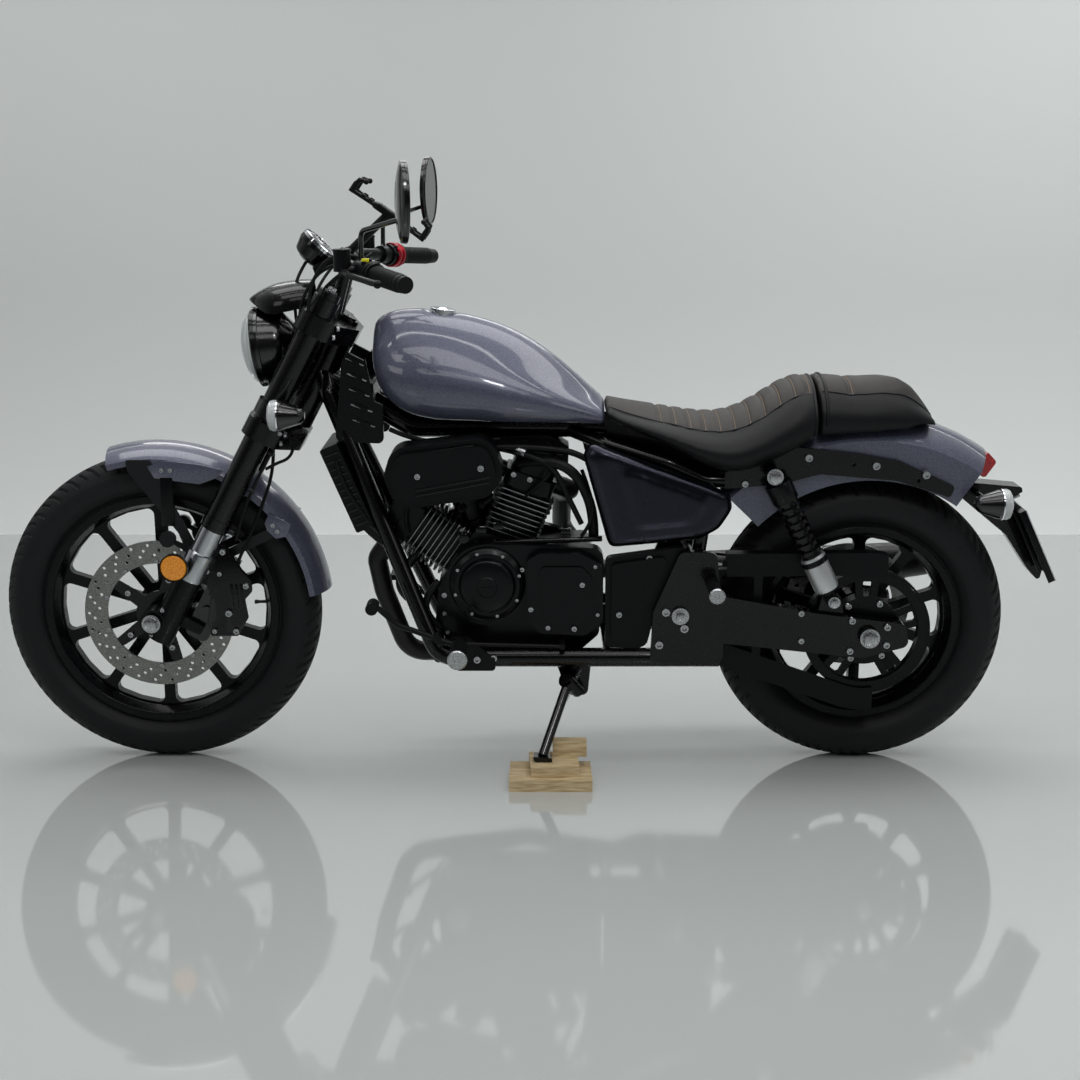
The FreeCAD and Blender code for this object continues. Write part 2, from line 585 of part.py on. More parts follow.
CRADLE_X, CRADLE_Z, CRADLE_L, CRADLE_SLOPE = FRONT_X + 505.5, FRONT_Z + 840.0, 178.0, 35.0


def phone_cradle():
    """Open four-claw holder on a short arm that is clamped round the middle of the handlebar."""
    half = CRADLE_L / 2
    core = slab([(-34, -24, 8), (34, -24, 8), (34, 24, 8), (-34, 24, 8)], -8, 4)
    arms = []
    for sx in (-1, 1):
        for sy in (-1, 1):
            tip = (sx * half, sy * 36.0)
            arm = slab([(sx * 20, sy * 6, 0), (sx * 30, sy * 20, 0), (tip[0], tip[1] + 5 * sy, 2),
                        (tip[0], tip[1] - 7 * sy, 2)], -6, 1)
            post = Part.makeCylinder(6.0, 22.0, vec(tip[0] - 4 * sx, tip[1], -6))
            arms += [arm, post]
    holder = join(core, *arms)
    turn = FreeCAD.Rotation(vec(0, 1, 0), CRADLE_SLOPE)
    holder.Placement = FreeCAD.Placement(vec(CRADLE_X, 0, CRADLE_Z), turn)
    clamp = cross_rod(BAR_X, BAR_Z, -12, 12, BAR_R + 8)
    arm = rod((BAR_X, 0, BAR_Z + 10), (CRADLE_X - 3, 0, CRADLE_Z - 4), 9.0)
    return join(holder, clamp, arm).cut(cross_rod(BAR_X, BAR_Z, -20, 20, BAR_R + FIT))


FENDER_DROP = 28.0                          # height of the front fender's crown above its side edge
FRONT_FENDER_FIRST, FRONT_FENDER_SWEEP = 7.0, 99.0


def fender_edges(radius, half, drop, skirt):
    """Section of a fender: two straight skirts joined by one arc over the crown, as a thin sheet."""
    side = radius - drop

    def row(offset):
        return [vec(side - skirt, half - offset, 0), vec(side, half - offset, 0), vec(radius - offset, 0, 0),
                vec(side, offset - half, 0), vec(side - skirt, offset - half, 0)]
    a, b = row(0.0), row(WALL)
    line, arc = Part.LineSegment, Part.Arc
    return [c.toShape() for c in (line(a[0], a[1]), arc(a[1], a[2], a[3]), line(a[3], a[4]),
                                  line(a[4], b[4]),
                                  line(b[4], b[3]), arc(b[3], b[2], b[1]), line(b[1], b[0]), line(b[0],
                                                                                                  a[0]))]


def front_fender():
    edges = fender_edges(FRONT_FENDER_R, FRONT_FENDER_HALF, FENDER_DROP, 12.0)
    return ring_about(FRONT_X, FRONT_Z, edges, FRONT_FENDER_FIRST, FRONT_FENDER_SWEEP)


def fender_stays():
    """Flat stays that carry the front fender from the fork feet, each with a round reflector housing."""
    inner = FRONT_FENDER_HALF + FIT
    edge = FRONT_FENDER_R - FENDER_DROP
    low = fork_point(150, LEG_TRAIL, 0)
    top_a = (FRONT_X + edge * cos(radians(97)), FRONT_Z + edge * sin(radians(97)))
    stay = plate([(low[0] - 20, low[2] + 6, 6), (low[0] + 6, low[2] + 14, 6),
                  (top_a[0] + 40, top_a[1] + 2, 6),
                  (top_a[0] - 10, top_a[1] + 2, 6), (top_a[0] - 6, top_a[1] - 22, 4), (low[0] - 40,
                                                                                       low[2] + 60, 30)],
                 -inner - 4, -inner)
    rear = (FRONT_X + (edge - 4) * cos(radians(35)), FRONT_Z + (edge - 4) * sin(radians(35)))
    brace = plate([(low[0] - 14, low[2] - 14, 6), (low[0] + 14, low[2] - 20, 6),
                   (rear[0] + 12, rear[1] - 6, 6),
                   (rear[0], rear[1] + 14, 6)], -inner - 4, -inner)
    spot = (FRONT_X + 30, FRONT_Z + 168)
    cup = cross_rod(spot[0], spot[1], -inner - 12, -inner, 17.0)
    arm = plate([(spot[0] - 8, spot[1], 0), (spot[0] + 8, spot[1], 0), (low[0] + 4, low[2] + 20, 0),
                 (low[0] - 16, low[2] + 12, 0)], -inner - 4, -inner)
    leg = rod(fork_point(LEG_LOW, y=-LEG_SPREAD), fork_point(-60, y=-LEG_SPREAD), LEG_R + 1 + FIT)
    return both(join(stay, brace, cup, arm).cut(leg))


IND_R, IND_L = 30.0, 62.0


def indicator(x, y, z, lens_end, root_y):
    """Bullet lamp with its flat lens facing one way along the bike, on a short stalk."""
    face = (x + lens_end * IND_L / 2, y, z)
    back = (x - lens_end * IND_L / 2, y, z)
    body = turned(face, back, [(0, 0, 0), (0, IND_R - 2, 0), (2, IND_R, 0), (14, IND_R, 4),
                               (IND_L - 8, 17, 20), (IND_L, 8, 4), (IND_L, 0, 0)])
    stalk = cross_rod(x, z, y, root_y, 8.0)
    return join(body, stalk)


FRONT_IND_T = 520.0                         # up the fork, where the front indicators clamp on
FRONT_IND_BACK = 45.0                       # middle of the lamp behind the leg


def front_indicators():
    """Lamps close behind the fork tubes, on short arms from clamps between the two triple clamps."""
    x, y, z = fork_point(FRONT_IND_T, y=-LEG_SPREAD)
    band = rod(fork_point(FRONT_IND_T - 15, y=-LEG_SPREAD), fork_point(FRONT_IND_T + 15, y=-LEG_SPREAD),
               LEG_R + 7)
    lamp_x, root = x + FRONT_IND_BACK, y - LEG_R
    arm = plate([(x + 18, z - 12, 4), (lamp_x + 12, z - 10, 8), (lamp_x + 12, z + 10, 8), (x + 18, z + 12, 4)],
                root - 3, root + 7)
    leg = rod(fork_point(0, y=-LEG_SPREAD), fork_point(900, y=-LEG_SPREAD), LEG_R + FIT)
    return both(join(join(band, arm).cut(leg), indicator(lamp_x, y - 68, z, -1, root + 2)))


def front_caliper():
    """Caliper over the front disc, bolted to the two lugs behind the left fork foot."""
    near, far = LEG_TRAIL + 40.0, LEG_TRAIL + CALIPER_BACK + 30
    corners = [fork_point(-6, near), fork_point(154, near), fork_point(154, far), fork_point(-6, far)]
    body = plate([(*_xz(corner), 14) for corner in corners], -LUG_IN + FIT, -FRONT_DISC_Y + 20)
    gap = cross_rod(FRONT_X, FRONT_Z, -FRONT_DISC_Y - DISC_T / 2 - RUN, -FRONT_DISC_Y + DISC_T / 2 + RUN,
                    FRONT_DISC_R + RUN)
    pots = []
    for t in (58.0, 90.0):
        x, z = _xz(fork_point(t, near + 24))
        pots.append(cross_rod(x, z, -LUG_IN - 7, -LUG_IN + 6, 14.0))
    return join(body.cut(gap), *pots)


# ---- frame, engine and drive ------------------------------------------------------------------------------
DOWN_TOP_Z, DOWN_TOP_Y = FRONT_Z + 510.0, 42.0        # where the down tubes leave the neck
DOWN_X = -150.0                             # where they turn into the lower rails
DOWN_R = 18.0
SPINE_Z, SPINE_R = 737.0, 24.0
RAIL_END = 440.0
SEAT_RAIL_R, SEAT_RAIL_Y = 15.0, 102.7


def neck_x(z):
    """Place of the steering axis at height z."""
    base = fork_point(0, STEM)
    return base[0] + (z - base[2]) * tan(radians(RAKE))


def down_tube(grow=0.0):
    """Left down tube and lower rail."""
    x, z = neck_x(DOWN_TOP_Z), DOWN_TOP_Z
    return tube([(x + 4, -10, z + 8, 0), (x + 18, -DOWN_TOP_Y, z - 34, 24), (DOWN_X, -RAIL_Y, RAIL_Z, 50),
                 (RAIL_END, -RAIL_Y, RAIL_Z, 0)], DOWN_R + grow)


def spine(grow=0.0):
    """Backbone from the neck, level under the tank, then down to the cross tube above the pivot."""
    return tube([(neck_x(DOWN_TOP_Z) + 8, 0, DOWN_TOP_Z - 4, 0), (FRONT_X + 546.5, 0, SPINE_Z, 60),
                 (PIVOT_X - 140, 0, SPINE_Z, 60), (PIVOT_X + 40, 0, 486, 0)], SPINE_R + grow)


def seat_rail(grow=0.0):
    """Left rail from the backbone to the front of the fender strut."""
    return tube([(110, 0, SPINE_Z, 0), (200, -60, SPINE_Z - 28, 40), (330, -SEAT_RAIL_Y, 676, 60),
                 (STRUT_FRONT_X - 40, -SEAT_RAIL_Y, STRUT_FRONT_Z, 60),
                 (STRUT_FRONT_X - FIT, -SEAT_RAIL_Y, STRUT_FRONT_Z, 0)], SEAT_RAIL_R + grow)


def main_frame():
    """Steering neck, spine, down tubes, lower rails, pivot plates and seat rails, welded together."""
    neck = rod(fork_point(NECK_LOW, STEM), fork_point(NECK_HIGH, STEM), NECK_R)
    rail = rod((DOWN_X + 60, -RAIL_Y, RAIL_Z), (RAIL_END, -RAIL_Y, RAIL_Z), RAIL_R)
    pivot = plate([(PIVOT_X - 62, 262, 10), (PIVOT_X + 92, 258, 20), (PIVOT_X + 90, 340, 30),
                   (PIVOT_X + 74, 500, 16), (PIVOT_X - 2, 500, 16), (PIVOT_X - 56, 372, 20)],
                  -PLATE_IN - PLATE_T, -PLATE_IN)
    upright = rod((PIVOT_X + 40, -SEAT_RAIL_Y, 484), (PIVOT_X + 62, -SEAT_RAIL_Y, STRUT_FRONT_Z),
                  SEAT_RAIL_R)
    halves = [both(piece) for piece in (down_tube(), rail, pivot, upright, seat_rail())]
    ties = [cross_rod(PIVOT_X + 40, 484, -PLATE_IN - 1, PLATE_IN + 1, 15.0),
            cross_rod(DOWN_X, RAIL_Z, -RAIL_Y, RAIL_Y, 12.0),
            cross_rod(CASE_BACK + 20, RAIL_Z, -RAIL_Y, RAIL_Y, 12.0),
            cross_rod(PIVOT_X - 25, RAIL_Z - 2, -RAIL_Y, RAIL_Y, 13.0)]
    front_lug = plate([(DOWN_X - 8, RAIL_Z, 0), (DOWN_X + 8, RAIL_Z, 0), (CRANK_X - 113, 312, 0),
                       (CRANK_X - 122 - FIT, 330, 0), (DOWN_X - 12, 316, 6)], -46, -36)
    back_lug = plate([(CASE_BACK + 12, RAIL_Z, 0), (CASE_BACK + 28, RAIL_Z, 0), (CASE_BACK + 20, 356, 6),
                      (CASE_BACK + FIT, 356, 0), (CASE_BACK + FIT, 322, 0)], -46, -36)
    lugs = [piece for lug in (front_lug, back_lug) for piece in (lug, mirrored(lug))]
    frame = join(neck, spine(), *[solid for half in halves for solid in half.Solids], *ties, *lugs,
                 *stand_bracket())
    stem_bore = rod(fork_point(NECK_LOW - 5, STEM), fork_point(NECK_HIGH + 5, STEM), STEM_R + FIT)
    pin_bore = cross_rod(PIVOT_X, PIVOT_Z, -PLATE_IN - 20, PLATE_IN + 20, PIN_R + FIT)
    return frame.cut([stem_bore, pin_bore, crankcase()])


PIN_R = 10.0
STRUT_FRONT_X, STRUT_FRONT_Z = 446.0, 640.0
STRUT_IN, STRUT_T = REAR_FENDER_HALF + FIT, 12.0


LUGGAGE = [(REAR_X - 40, 674.0), (REAR_X + 96, 640.0)]    # bolt holes for a luggage rack, one pair a side
LUGGAGE_R = 4.2


def strut_blank(grow=0.0):
    """Outline of a fender strut, thick as the strut, grown all round by a gap."""
    outline = [(STRUT_FRONT_X, STRUT_FRONT_Z - 17, 4), (STRUT_FRONT_X, STRUT_FRONT_Z + 17, 4),
               (REAR_X - 176, 712, 40), (REAR_X - 30, 697, 60), (REAR_X + 54, 682, 60), (REAR_X + 172, 628,
                                                                                         8),
               (REAR_X + 164, 604, 8), (REAR_X + 50, 640, 60), (REAR_X - 110, 654, 60), (REAR_X - 190, 632,
                                                                                         40)]
    edges = rounded_edges([(vec(x, -STRUT_IN - STRUT_T - grow, z), r) for x, z, r in outline], True)
    face = Part.Face(Part.Wire(edges))
    if grow:
        face = face.makeOffset2D(grow)
    return face.extrude(vec(0, STRUT_T + 2 * grow, 0))


def fender_struts():
    """Pair of forged struts from the seat rails along the rear fender's sides."""
    holes = [cross_rod(x, z, -STRUT_IN - STRUT_T - 1, -STRUT_IN + 1, LUGGAGE_R) for x, z in LUGGAGE]
    return both(strut_blank().cut(holes))


CASE_BACK = 190.0


def crankcase():
    """Crankcase and gearbox in one casting, with a flat land for each cylinder and a finned sump."""
    def land(tilt, side):
        a = radians(tilt)
        return (CRANK_X + CYL_START * sin(a) + side * 66 * cos(a),
                CRANK_Z + CYL_START * cos(a) - side * 66 * sin(a))
    outline = [(*land(FRONT_CYL_TILT, -1), 4), (*land(FRONT_CYL_TILT, 1), 0), (*land(REAR_CYL_TILT, -1), 0),
               (*land(REAR_CYL_TILT, 1), 6), (CASE_BACK - 20, 492, 22), (CASE_BACK, 400, 24), (CASE_BACK,
                                                                                               300, 20),
               (150, 264, 24), (CRANK_X - 90, 264, 24), (CRANK_X - 125, 330, 40)]
    body = plate(outline, -CASE_HALF, CASE_HALF)
    ribs = [plate([(x, 253, 0), (x + 6, 253, 0), (x + 6, 270, 0), (x, 270, 0)], -60, 60)
            for x in (CRANK_X - 60 + 22 * i for i in range(8))]
    return join(body, *ribs)


def engine_covers():
    """Left and right covers of the engine: round generator cover, square gear cover, clutch cover."""
    y = -CASE_HALF - FIT
    gen_x, gen_z = CRANK_X - 12, CRANK_Z + 7
    base = turned((gen_x, y, gen_z), (gen_x, y - 1, gen_z),
                  [(0, 0, 0), (0, 82, 0), (44, 80, 10), (52, 66, 8), (52, 60, 0), (64, 54, 8), (66, 0, 0)])
    gear = plate([(36, 478, 16), (60, 494, 16), (150, 492, 20), (192, 470, 20), (196, 352, 20),
                  (160, 316, 20),
                  (64, 320, 20), (36, 350, 16)], y - 64, y)
    gear = gear.cut(cross_rod(gen_x, gen_z, y - 90, y + 1, 84.0))
    back = plate([(gen_x - 88, gen_z + 88, 87), (196, gen_z + 76, 24), (196, gen_z - 100, 24),
                  (gen_x - 88, gen_z - 88, 87)],
                 y - 38, y)
    step = plate([(62, 466, 12), (150, 466, 16), (172, 444, 16), (172, 362, 16), (146, 340, 16),
                  (74, 344, 12)],
                 y - 70, y - 63)
    clutch_x, clutch_z = CRANK_X + 95, CRANK_Z - 12
    clutch = turned((clutch_x, -y, clutch_z), (clutch_x, 1 - y, clutch_z),
                    [(0, 0, 0), (0, 100, 0), (40, 98, 10), (48, 80, 8), (60, 74, 8), (62, 0, 0)])
    timing = turned((CRANK_X - 40, -y, CRANK_Z + 4), (CRANK_X - 40, 1 - y, CRANK_Z + 4),
                    [(0, 0, 0), (0, 66, 0), (30, 62, 8), (36, 0, 0)])
    timing = timing.cut(cross_rod(clutch_x, clutch_z, 0, 200, 104.0))
    return group(join(base, back, gear, step), clutch, timing)


def cylinder_unit(tilt):
    """Air-swept barrel with thin fins, a head with deeper fins and a smooth rocker box on top."""
    core_w, core_l = FIN_W / 2 - 13, FIN_L / 2 - 13

    def layer(half_x, half_y, corner, z0, z1):
        return box(-half_x, half_x, -half_y, half_y, z0, z1, corner)
    fins_h = FIN_COUNT * FIN_PITCH
    base = CYL_START + FIT
    parts = [layer(core_w, core_l, 20, base, base + fins_h + HEAD_H)]
    for i in range(FIN_COUNT):
        z0 = base + FIN_PITCH * (i + 0.6)
        grow = 0.0 if i < FIN_COUNT - 3 else 3.0
        parts.append(layer(FIN_W / 2 + grow, FIN_L / 2 + grow - 4, 20, z0, z0 + FIN_T))
    top = base + fins_h
    parts.append(layer(FIN_W / 2 - 6, FIN_L / 2 - 6, 18, top + 6, top + HEAD_H))
    parts.append(layer(FIN_W / 2 - 14, FIN_L / 2 - 12, 26, top + HEAD_H - 1, top + HEAD_H + ROCKER_H))
    for sy in (-1, 1):
        parts.append(Part.makeCylinder(7, top + HEAD_H + 4 - base, vec(core_w, sy * 40, base)))
    unit = join(*parts)
    unit.rotate(vec(0, 0, 0), vec(0, 1, 0), tilt)
    unit.translate(vec(CRANK_X, 0, CRANK_Z))
    return unit


def cylinder_top(tilt, distance, side=0.0):
    """Point at a distance from the crank along a cylinder, moved square to it by side, rearward positive."""
    a = radians(tilt)
    return (CRANK_X + distance * sin(a) + side * cos(a), CRANK_Z + distance * cos(a) - side * sin(a))


def with_y(point, y):
    return point[0], y, point[1]


HEAD_MID = CYL_START + FIN_COUNT * FIN_PITCH + 6 + HEAD_H / 2


def front_cylinder():
    return cylinder_unit(FRONT_CYL_TILT)


def rear_cylinder():
    return cylinder_unit(REAR_CYL_TILT)


AIR_X, AIR_Z, AIR_L, AIR_H, AIR_TILT = -134.0, 666.0, 246.0, 128.0, 8.0
AIR_IN, AIR_OUT = 74.0, 168.0


def air_cleaner():
    """Oblong air box on the left, between the cylinder heads, with a raised face and an intake neck."""
    hl, hh = AIR_L / 2, AIR_H / 2
    body = plate([(-hl + 26, hh, 40), (hl - 14, hh - 6, 40), (hl, -hh + 40, 40), (hl - 40, -hh, 40),
                  (-hl + 16, -hh, 46), (-hl, 10, 40)], -AIR_OUT + 14, -AIR_IN)
    face = plate([(-hl + 36, hh - 12, 30), (hl - 26, hh - 18, 30), (hl - 14, -hh + 44, 30),
                  (hl - 48, -hh + 12, 30),
                  (-hl + 26, -hh + 12, 34), (-hl + 12, 8, 30)], -AIR_OUT, -AIR_OUT + 15)
    case = join(body, face)
    case.rotate(vec(0, 0, 0), vec(0, -1, 0), AIR_TILT)
    case.translate(vec(AIR_X, 0, AIR_Z))
    edge = FIN_W / 2 - 6
    rows = [(FRONT_CYL_TILT, edge + FIT, 0), (FRONT_CYL_TILT, edge + 34, 32),
            (REAR_CYL_TILT, -edge - 34, 32),
            (REAR_CYL_TILT, -edge - FIT, 0)]
    manifold = tube([(*with_y(cylinder_top(tilt, HEAD_MID, side), 0), bend) for tilt, side, bend in rows],
                    18.0)
    front_x, front_z = cylinder_top(FRONT_CYL_TILT, HEAD_MID, edge + 34)
    rear_x, rear_z = cylinder_top(REAR_CYL_TILT, HEAD_MID, -edge - 34)
    neck = cross_rod((front_x + rear_x) / 2, (front_z + rear_z) / 2, -AIR_IN - 1, 0, 24.0)
    return join(case, manifold, neck)


RAD_W, RAD_H, RAD_T = 196.0, 190.0, 40.0
RAD_DROP = 100.0                            # from the top of the down tubes to the top of the radiator


def down_line():
    """Start and unit direction, as (x, z), of the straight part of the down tubes."""
    x0, z0 = neck_x(DOWN_TOP_Z) + 18, DOWN_TOP_Z - 34
    run = hypot(DOWN_X - x0, RAIL_Z - z0)
    return (x0, z0), ((DOWN_X - x0) / run, (RAIL_Z - z0) / run)


def radiator():
    """Radiator in a deep shroud with slats, lying against the front of the down tubes."""
    (x0, z0), (dx, dz) = down_line()
    off = DOWN_R + FIT

    def at(along, ahead_by):
        return (x0 + dx * along + dz * (off + ahead_by), z0 + dz * along - dx * (off + ahead_by))
    corners = [at(RAD_DROP, 0), at(RAD_DROP, RAD_T), at(RAD_DROP + RAD_H, RAD_T), at(RAD_DROP + RAD_H, 0)]
    body = plate([(x, z, 5) for x, z in corners], -RAD_W / 2, RAD_W / 2)
    pocket = [at(RAD_DROP + 14, RAD_T - 9), at(RAD_DROP + 14, RAD_T + 9),
              at(RAD_DROP + RAD_H - 14, RAD_T + 9),
              at(RAD_DROP + RAD_H - 14, RAD_T - 9)]
    body = body.cut(plate([(x, z, 0) for x, z in pocket], -RAD_W / 2 + 14, RAD_W / 2 - 14))
    slats = []
    for i in range(9):
        a = RAD_DROP + 26 + i * (RAD_H - 52) / 8
        slat = [at(a - 2, RAD_T - 10), at(a - 2, RAD_T - 3), at(a + 2, RAD_T - 3), at(a + 2, RAD_T - 10)]
        slats.append(plate([(x, z, 0) for x, z in slat], -RAD_W / 2 + 13, RAD_W / 2 - 13))
    return join(body, *slats)


COWL_RIBS = 5


def neck_cowl():
    """Ribbed cheek covers that close the frame between the steering neck and the tank."""
    base = DOWN_TOP_Z - 138
    front, back = neck_x(base + 88) + 60, TANK_FRONT + 22
    outline = [(front, base + 4, 14), (front + 18, base + 172, 24), (front + 40, base + 206, 16),
               (back - 42, base + 214, 8), (back - 32, base + 164, 6), (back - 17, base + 88, 6),
               (back, base + 80, 4), (back, base, 12)]
    cheek = plate(outline, -74, -64)
    bridge = plate([(front + 6, base + 38, 6), (front + 20, base + 126, 6), (back - 20, base + 126, 6),
                    (back - 16, base + 38, 6)], -65, 65)
    ribs = []
    for i in range(COWL_RIBS):
        x0, x1, z = front + 34 + 3 * i, back - 46 + 5 * i, base + 176 - 32 * i
        ribs.append(plate([(x0, z, 0), (x0, z + 6, 0), (x1, z - 6, 0), (x1, z - 12, 0)], -78, -73))
    solid = join(cheek, *ribs)
    solid = join(solid, mirrored(solid), bridge)
    down = down_tube(FIT)
    swept = [steer_placed(box(-120, 69, -90, 90, low - RUN, low + CLAMP_T + RUN))
             for low in (LOWER_CLAMP, UPPER_CLAMP)]
    return solid.cut([down, mirrored(down), spine(FIT), *swept])


TANK_FRONT, TANK_BACK = FRONT_X + 468.5, 199.0


def tank_x(share):
    """Place along the tank, as a share of its length from the front."""
    return TANK_FRONT + share * (TANK_BACK - TANK_FRONT)


CAP_X, CAP_Z, CAP_R, CAP_LEAN = tank_x(0.3002), 979.0, 27.0, 0.12


def fuel_tank():
    """Teardrop tank, widest ahead of the middle, with a tunnel over the spine."""
    rows = [(TANK_FRONT, 878, 926, 948, 40, 62, 36), (tank_x(0.0455), 816, 930, 974, 66, 96, 58),
            (tank_x(0.1946), 772, 925, 986, 92, TANK_HALF - 8, 86),
            (tank_x(0.4017), 764, 912, 974, 104, TANK_HALF, 92),
            (tank_x(0.6294), 760, 880, 937, 104, TANK_HALF - 6, 84),
            (tank_x(0.8364), 757, 832, 868, 92, TANK_HALF - 30, 64),
            (TANK_BACK, 748, 784, 798, 70, 78, 48)]
    body = loft([barrel(*row) for row in rows])
    tunnel = box(TANK_FRONT - 5, TANK_BACK + 5, -SPINE_R - 2, SPINE_R + 2, 700, SPINE_Z + SPINE_R + FIT)
    seat = rod(cap_place(1 - FIT), cap_place(40), CAP_R + FIT)
    well = rod(cap_place(-14 - FIT), cap_place(2), CAP_R - 4 + FIT)
    return body.cut([tunnel, seat, well])


def cap_place(distance):
    """Point on the filler cap's axis, which stands square on the sloping crown."""
    return (CAP_X + CAP_LEAN * distance, 0, CAP_Z + distance)


def fuel_cap():
    """Round filler cap with a stepped rim, let into the tank's crown."""
    return turned(cap_place(0), cap_place(1), [(-14, 0, 0), (-14, CAP_R - 4, 0), (1, CAP_R - 4, 0),
                                               (1, CAP_R, 0),
                                               (6, CAP_R, 2), (9, 12, 6), (9, 0, 0)])


def rider_seat():
    """Deep bucket seat that rises behind the rider."""
    rows = [(TANK_BACK + 2, 765, 790, 800, 60, 80, 60), (REAR_X - 462, 730, 764, 784, 108, 132, 100),
            (REAR_X - 382, 694, 748, 770, 128, 154, 116), (REAR_X - 302, 665, 742, 770, 136, SEAT_HALF, 118),
            (REAR_X - 222, 682, 776, 806, 134, 158, 116), (REAR_X - 162, 712, 812, 840, 128, 148, 108),
            (REAR_X - 118, 736, 812, 842, 112, 128, 92)]
    body = loft([barrel(*row) for row in rows])
    return body.cut([rear_envelope(), *seat_clear()])


def rear_envelope():
    """Space taken by the rear fender, with its running gap to the seats."""
    blank = cross_rod(REAR_X, REAR_Z, -REAR_FENDER_HALF - 1, REAR_FENDER_HALF + 1, REAR_FENDER_R + FIT)
    return blank


def seat_clear():
    """Space taken by the struts, the seat rails and the shock tops under the seats."""
    shock_top = cross_rod(SHOCK_TOP_X, SHOCK_TOP_Z, -SHOCK_Y - 30, -STRUT_IN - STRUT_T, SPRING_R + 5)
    left = [strut_blank(FIT), seat_rail(FIT), shock_top]
    return left + [mirrored(piece) for piece in left] + [spine(FIT)]


def pillion_seat():
    """Narrow pad on the rear fender, rounded off at the back."""
    rows = [(638, 732, 820, 846, 108, 122, 92), (700, 738, 814, 842, 110, 120, 92),
            (790, 744, 802, 830, 106, 114, 84), (850, 748, 786, 806, 94, 100, 66), (888, 746, 756, 762, 70,
                                                                                    72, 44)]
    body = loft([barrel(*row) for row in rows])
    return body.cut([rear_envelope(), *seat_clear()])


SHOCK_TOP_X, SHOCK_TOP_Z, SHOCK_LOW_X, SHOCK_LOW_Z, SHOCK_Y = 542.0, 660.0, 674.0, 394.0, 147.0
SPRING_R, SPRING_TURNS = 24.0, 9


def shock_point(t):
    """Point at a share t of the way from the upper eye to the lower one, on the left."""
    return (SHOCK_TOP_X + (SHOCK_LOW_X - SHOCK_TOP_X) * t, -SHOCK_Y,
            SHOCK_TOP_Z + (SHOCK_LOW_Z - SHOCK_TOP_Z) * t)


def shocks():
    """Twin dampers: an eye at each end, a rod, a can and two spring seats."""
    parts = []
    for x, z in ((SHOCK_TOP_X, SHOCK_TOP_Z), (SHOCK_LOW_X, SHOCK_LOW_Z)):
        parts.append(cross_rod(x, z, -SHOCK_Y - 14, -SHOCK_Y + 14, 15.0))
    parts.append(rod(shock_point(0.03), shock_point(0.97), 10.0))
    parts.append(rod(shock_point(0.07), shock_point(0.13), SPRING_R + 3))
    parts.append(rod(shock_point(0.62), shock_point(0.93), 19.0))
    parts.append(rod(shock_point(0.66), shock_point(0.70), SPRING_R + 3))
    unit = join(*parts)
    pins = [cross_rod(SHOCK_TOP_X, SHOCK_TOP_Z, -SHOCK_Y - 18, -STRUT_IN - STRUT_T - FIT, 7.0),
            cross_rod(SHOCK_LOW_X, SHOCK_LOW_Z, -SHOCK_Y - 18, -SHOCK_Y + 14.5, 7.0)]
    return both(join(unit, *pins))


def shock_springs():
    """Coil springs drawn as stacked rings on a thin sleeve around the damper rods."""
    rings = [rod(shock_point(0.132), shock_point(0.618), 16.0)]
    for i in range(SPRING_TURNS):
        t = 0.15 + i * (0.60 - 0.15) / (SPRING_TURNS - 1)
        rings.append(rod(shock_point(t - 0.012), shock_point(t + 0.012), SPRING_R))
    bore = rod(shock_point(0.1), shock_point(0.64), 10.0 + FIT)
    return both(join(*rings).cut(bore))


def swingarm():
    """Two deep arms, a pivot tube and a cross box ahead of the tyre."""
    arm = plate([(PIVOT_X - 34, PIVOT_Z + 30, 24), (PIVOT_X + 40, PIVOT_Z + 46, 30),
                 (REAR_X - 110, REAR_Z + 50, 60),
                 (REAR_X + 78, REAR_Z + 26, 16), (REAR_X + 86, REAR_Z - 22, 16), (REAR_X - 10, REAR_Z - 48,
                                                                                  40),
                 (PIVOT_X + 60, PIVOT_Z - 62, 40), (PIVOT_X - 30, PIVOT_Z - 34,
                                                    24)], -ARM_IN - ARM_T, -ARM_IN)
    ear = plate([(SHOCK_LOW_X - 30, REAR_Z + 40, 4), (SHOCK_LOW_X - 18, SHOCK_LOW_Z + 8, 10),
                 (SHOCK_LOW_X + 18, SHOCK_LOW_Z + 8, 10), (SHOCK_LOW_X + 30, REAR_Z + 30, 4)],
                -SHOCK_Y + 15, -ARM_IN)
    tube_ = cross_rod(PIVOT_X, PIVOT_Z, -ARM_IN - 2, ARM_IN + 2, 24.0)
    tie = plate([(PIVOT_X + 22, PIVOT_Z - 34, 8), (PIVOT_X + 22, PIVOT_Z + 34, 8),
                 (REAR_X - REAR_Z - 14, PIVOT_Z + 30, 8),
                 (REAR_X - REAR_Z - 14, PIVOT_Z - 34, 8)], -ARM_IN - 2, ARM_IN + 2)
    arms = both(join(arm, ear))
    solid = join(tube_, tie, *arms.Solids)
    bores = [cross_rod(PIVOT_X, PIVOT_Z, -200, 200, PIN_R + FIT),
             cross_rod(REAR_X, REAR_Z, -200, 200, AXLE_R + FIT),
             *[cross_rod(SHOCK_LOW_X, SHOCK_LOW_Z, s * SHOCK_Y - 14.3, s * SHOCK_Y + 14.3,
                         16.0) for s in (-1, 1)]]
    return solid.cut(bores)


def pivot_pin():
    """Pin of the swingarm with its two heads."""
    out = PLATE_IN + PLATE_T
    pin = cross_rod(PIVOT_X, PIVOT_Z, -out - 8, out + 8, PIN_R)
    heads = [cross_rod(PIVOT_X, PIVOT_Z, y, y + 9, PIN_R + 8) for y in (-out - 9 - FIT, out + FIT)]
    return join(pin, *heads)


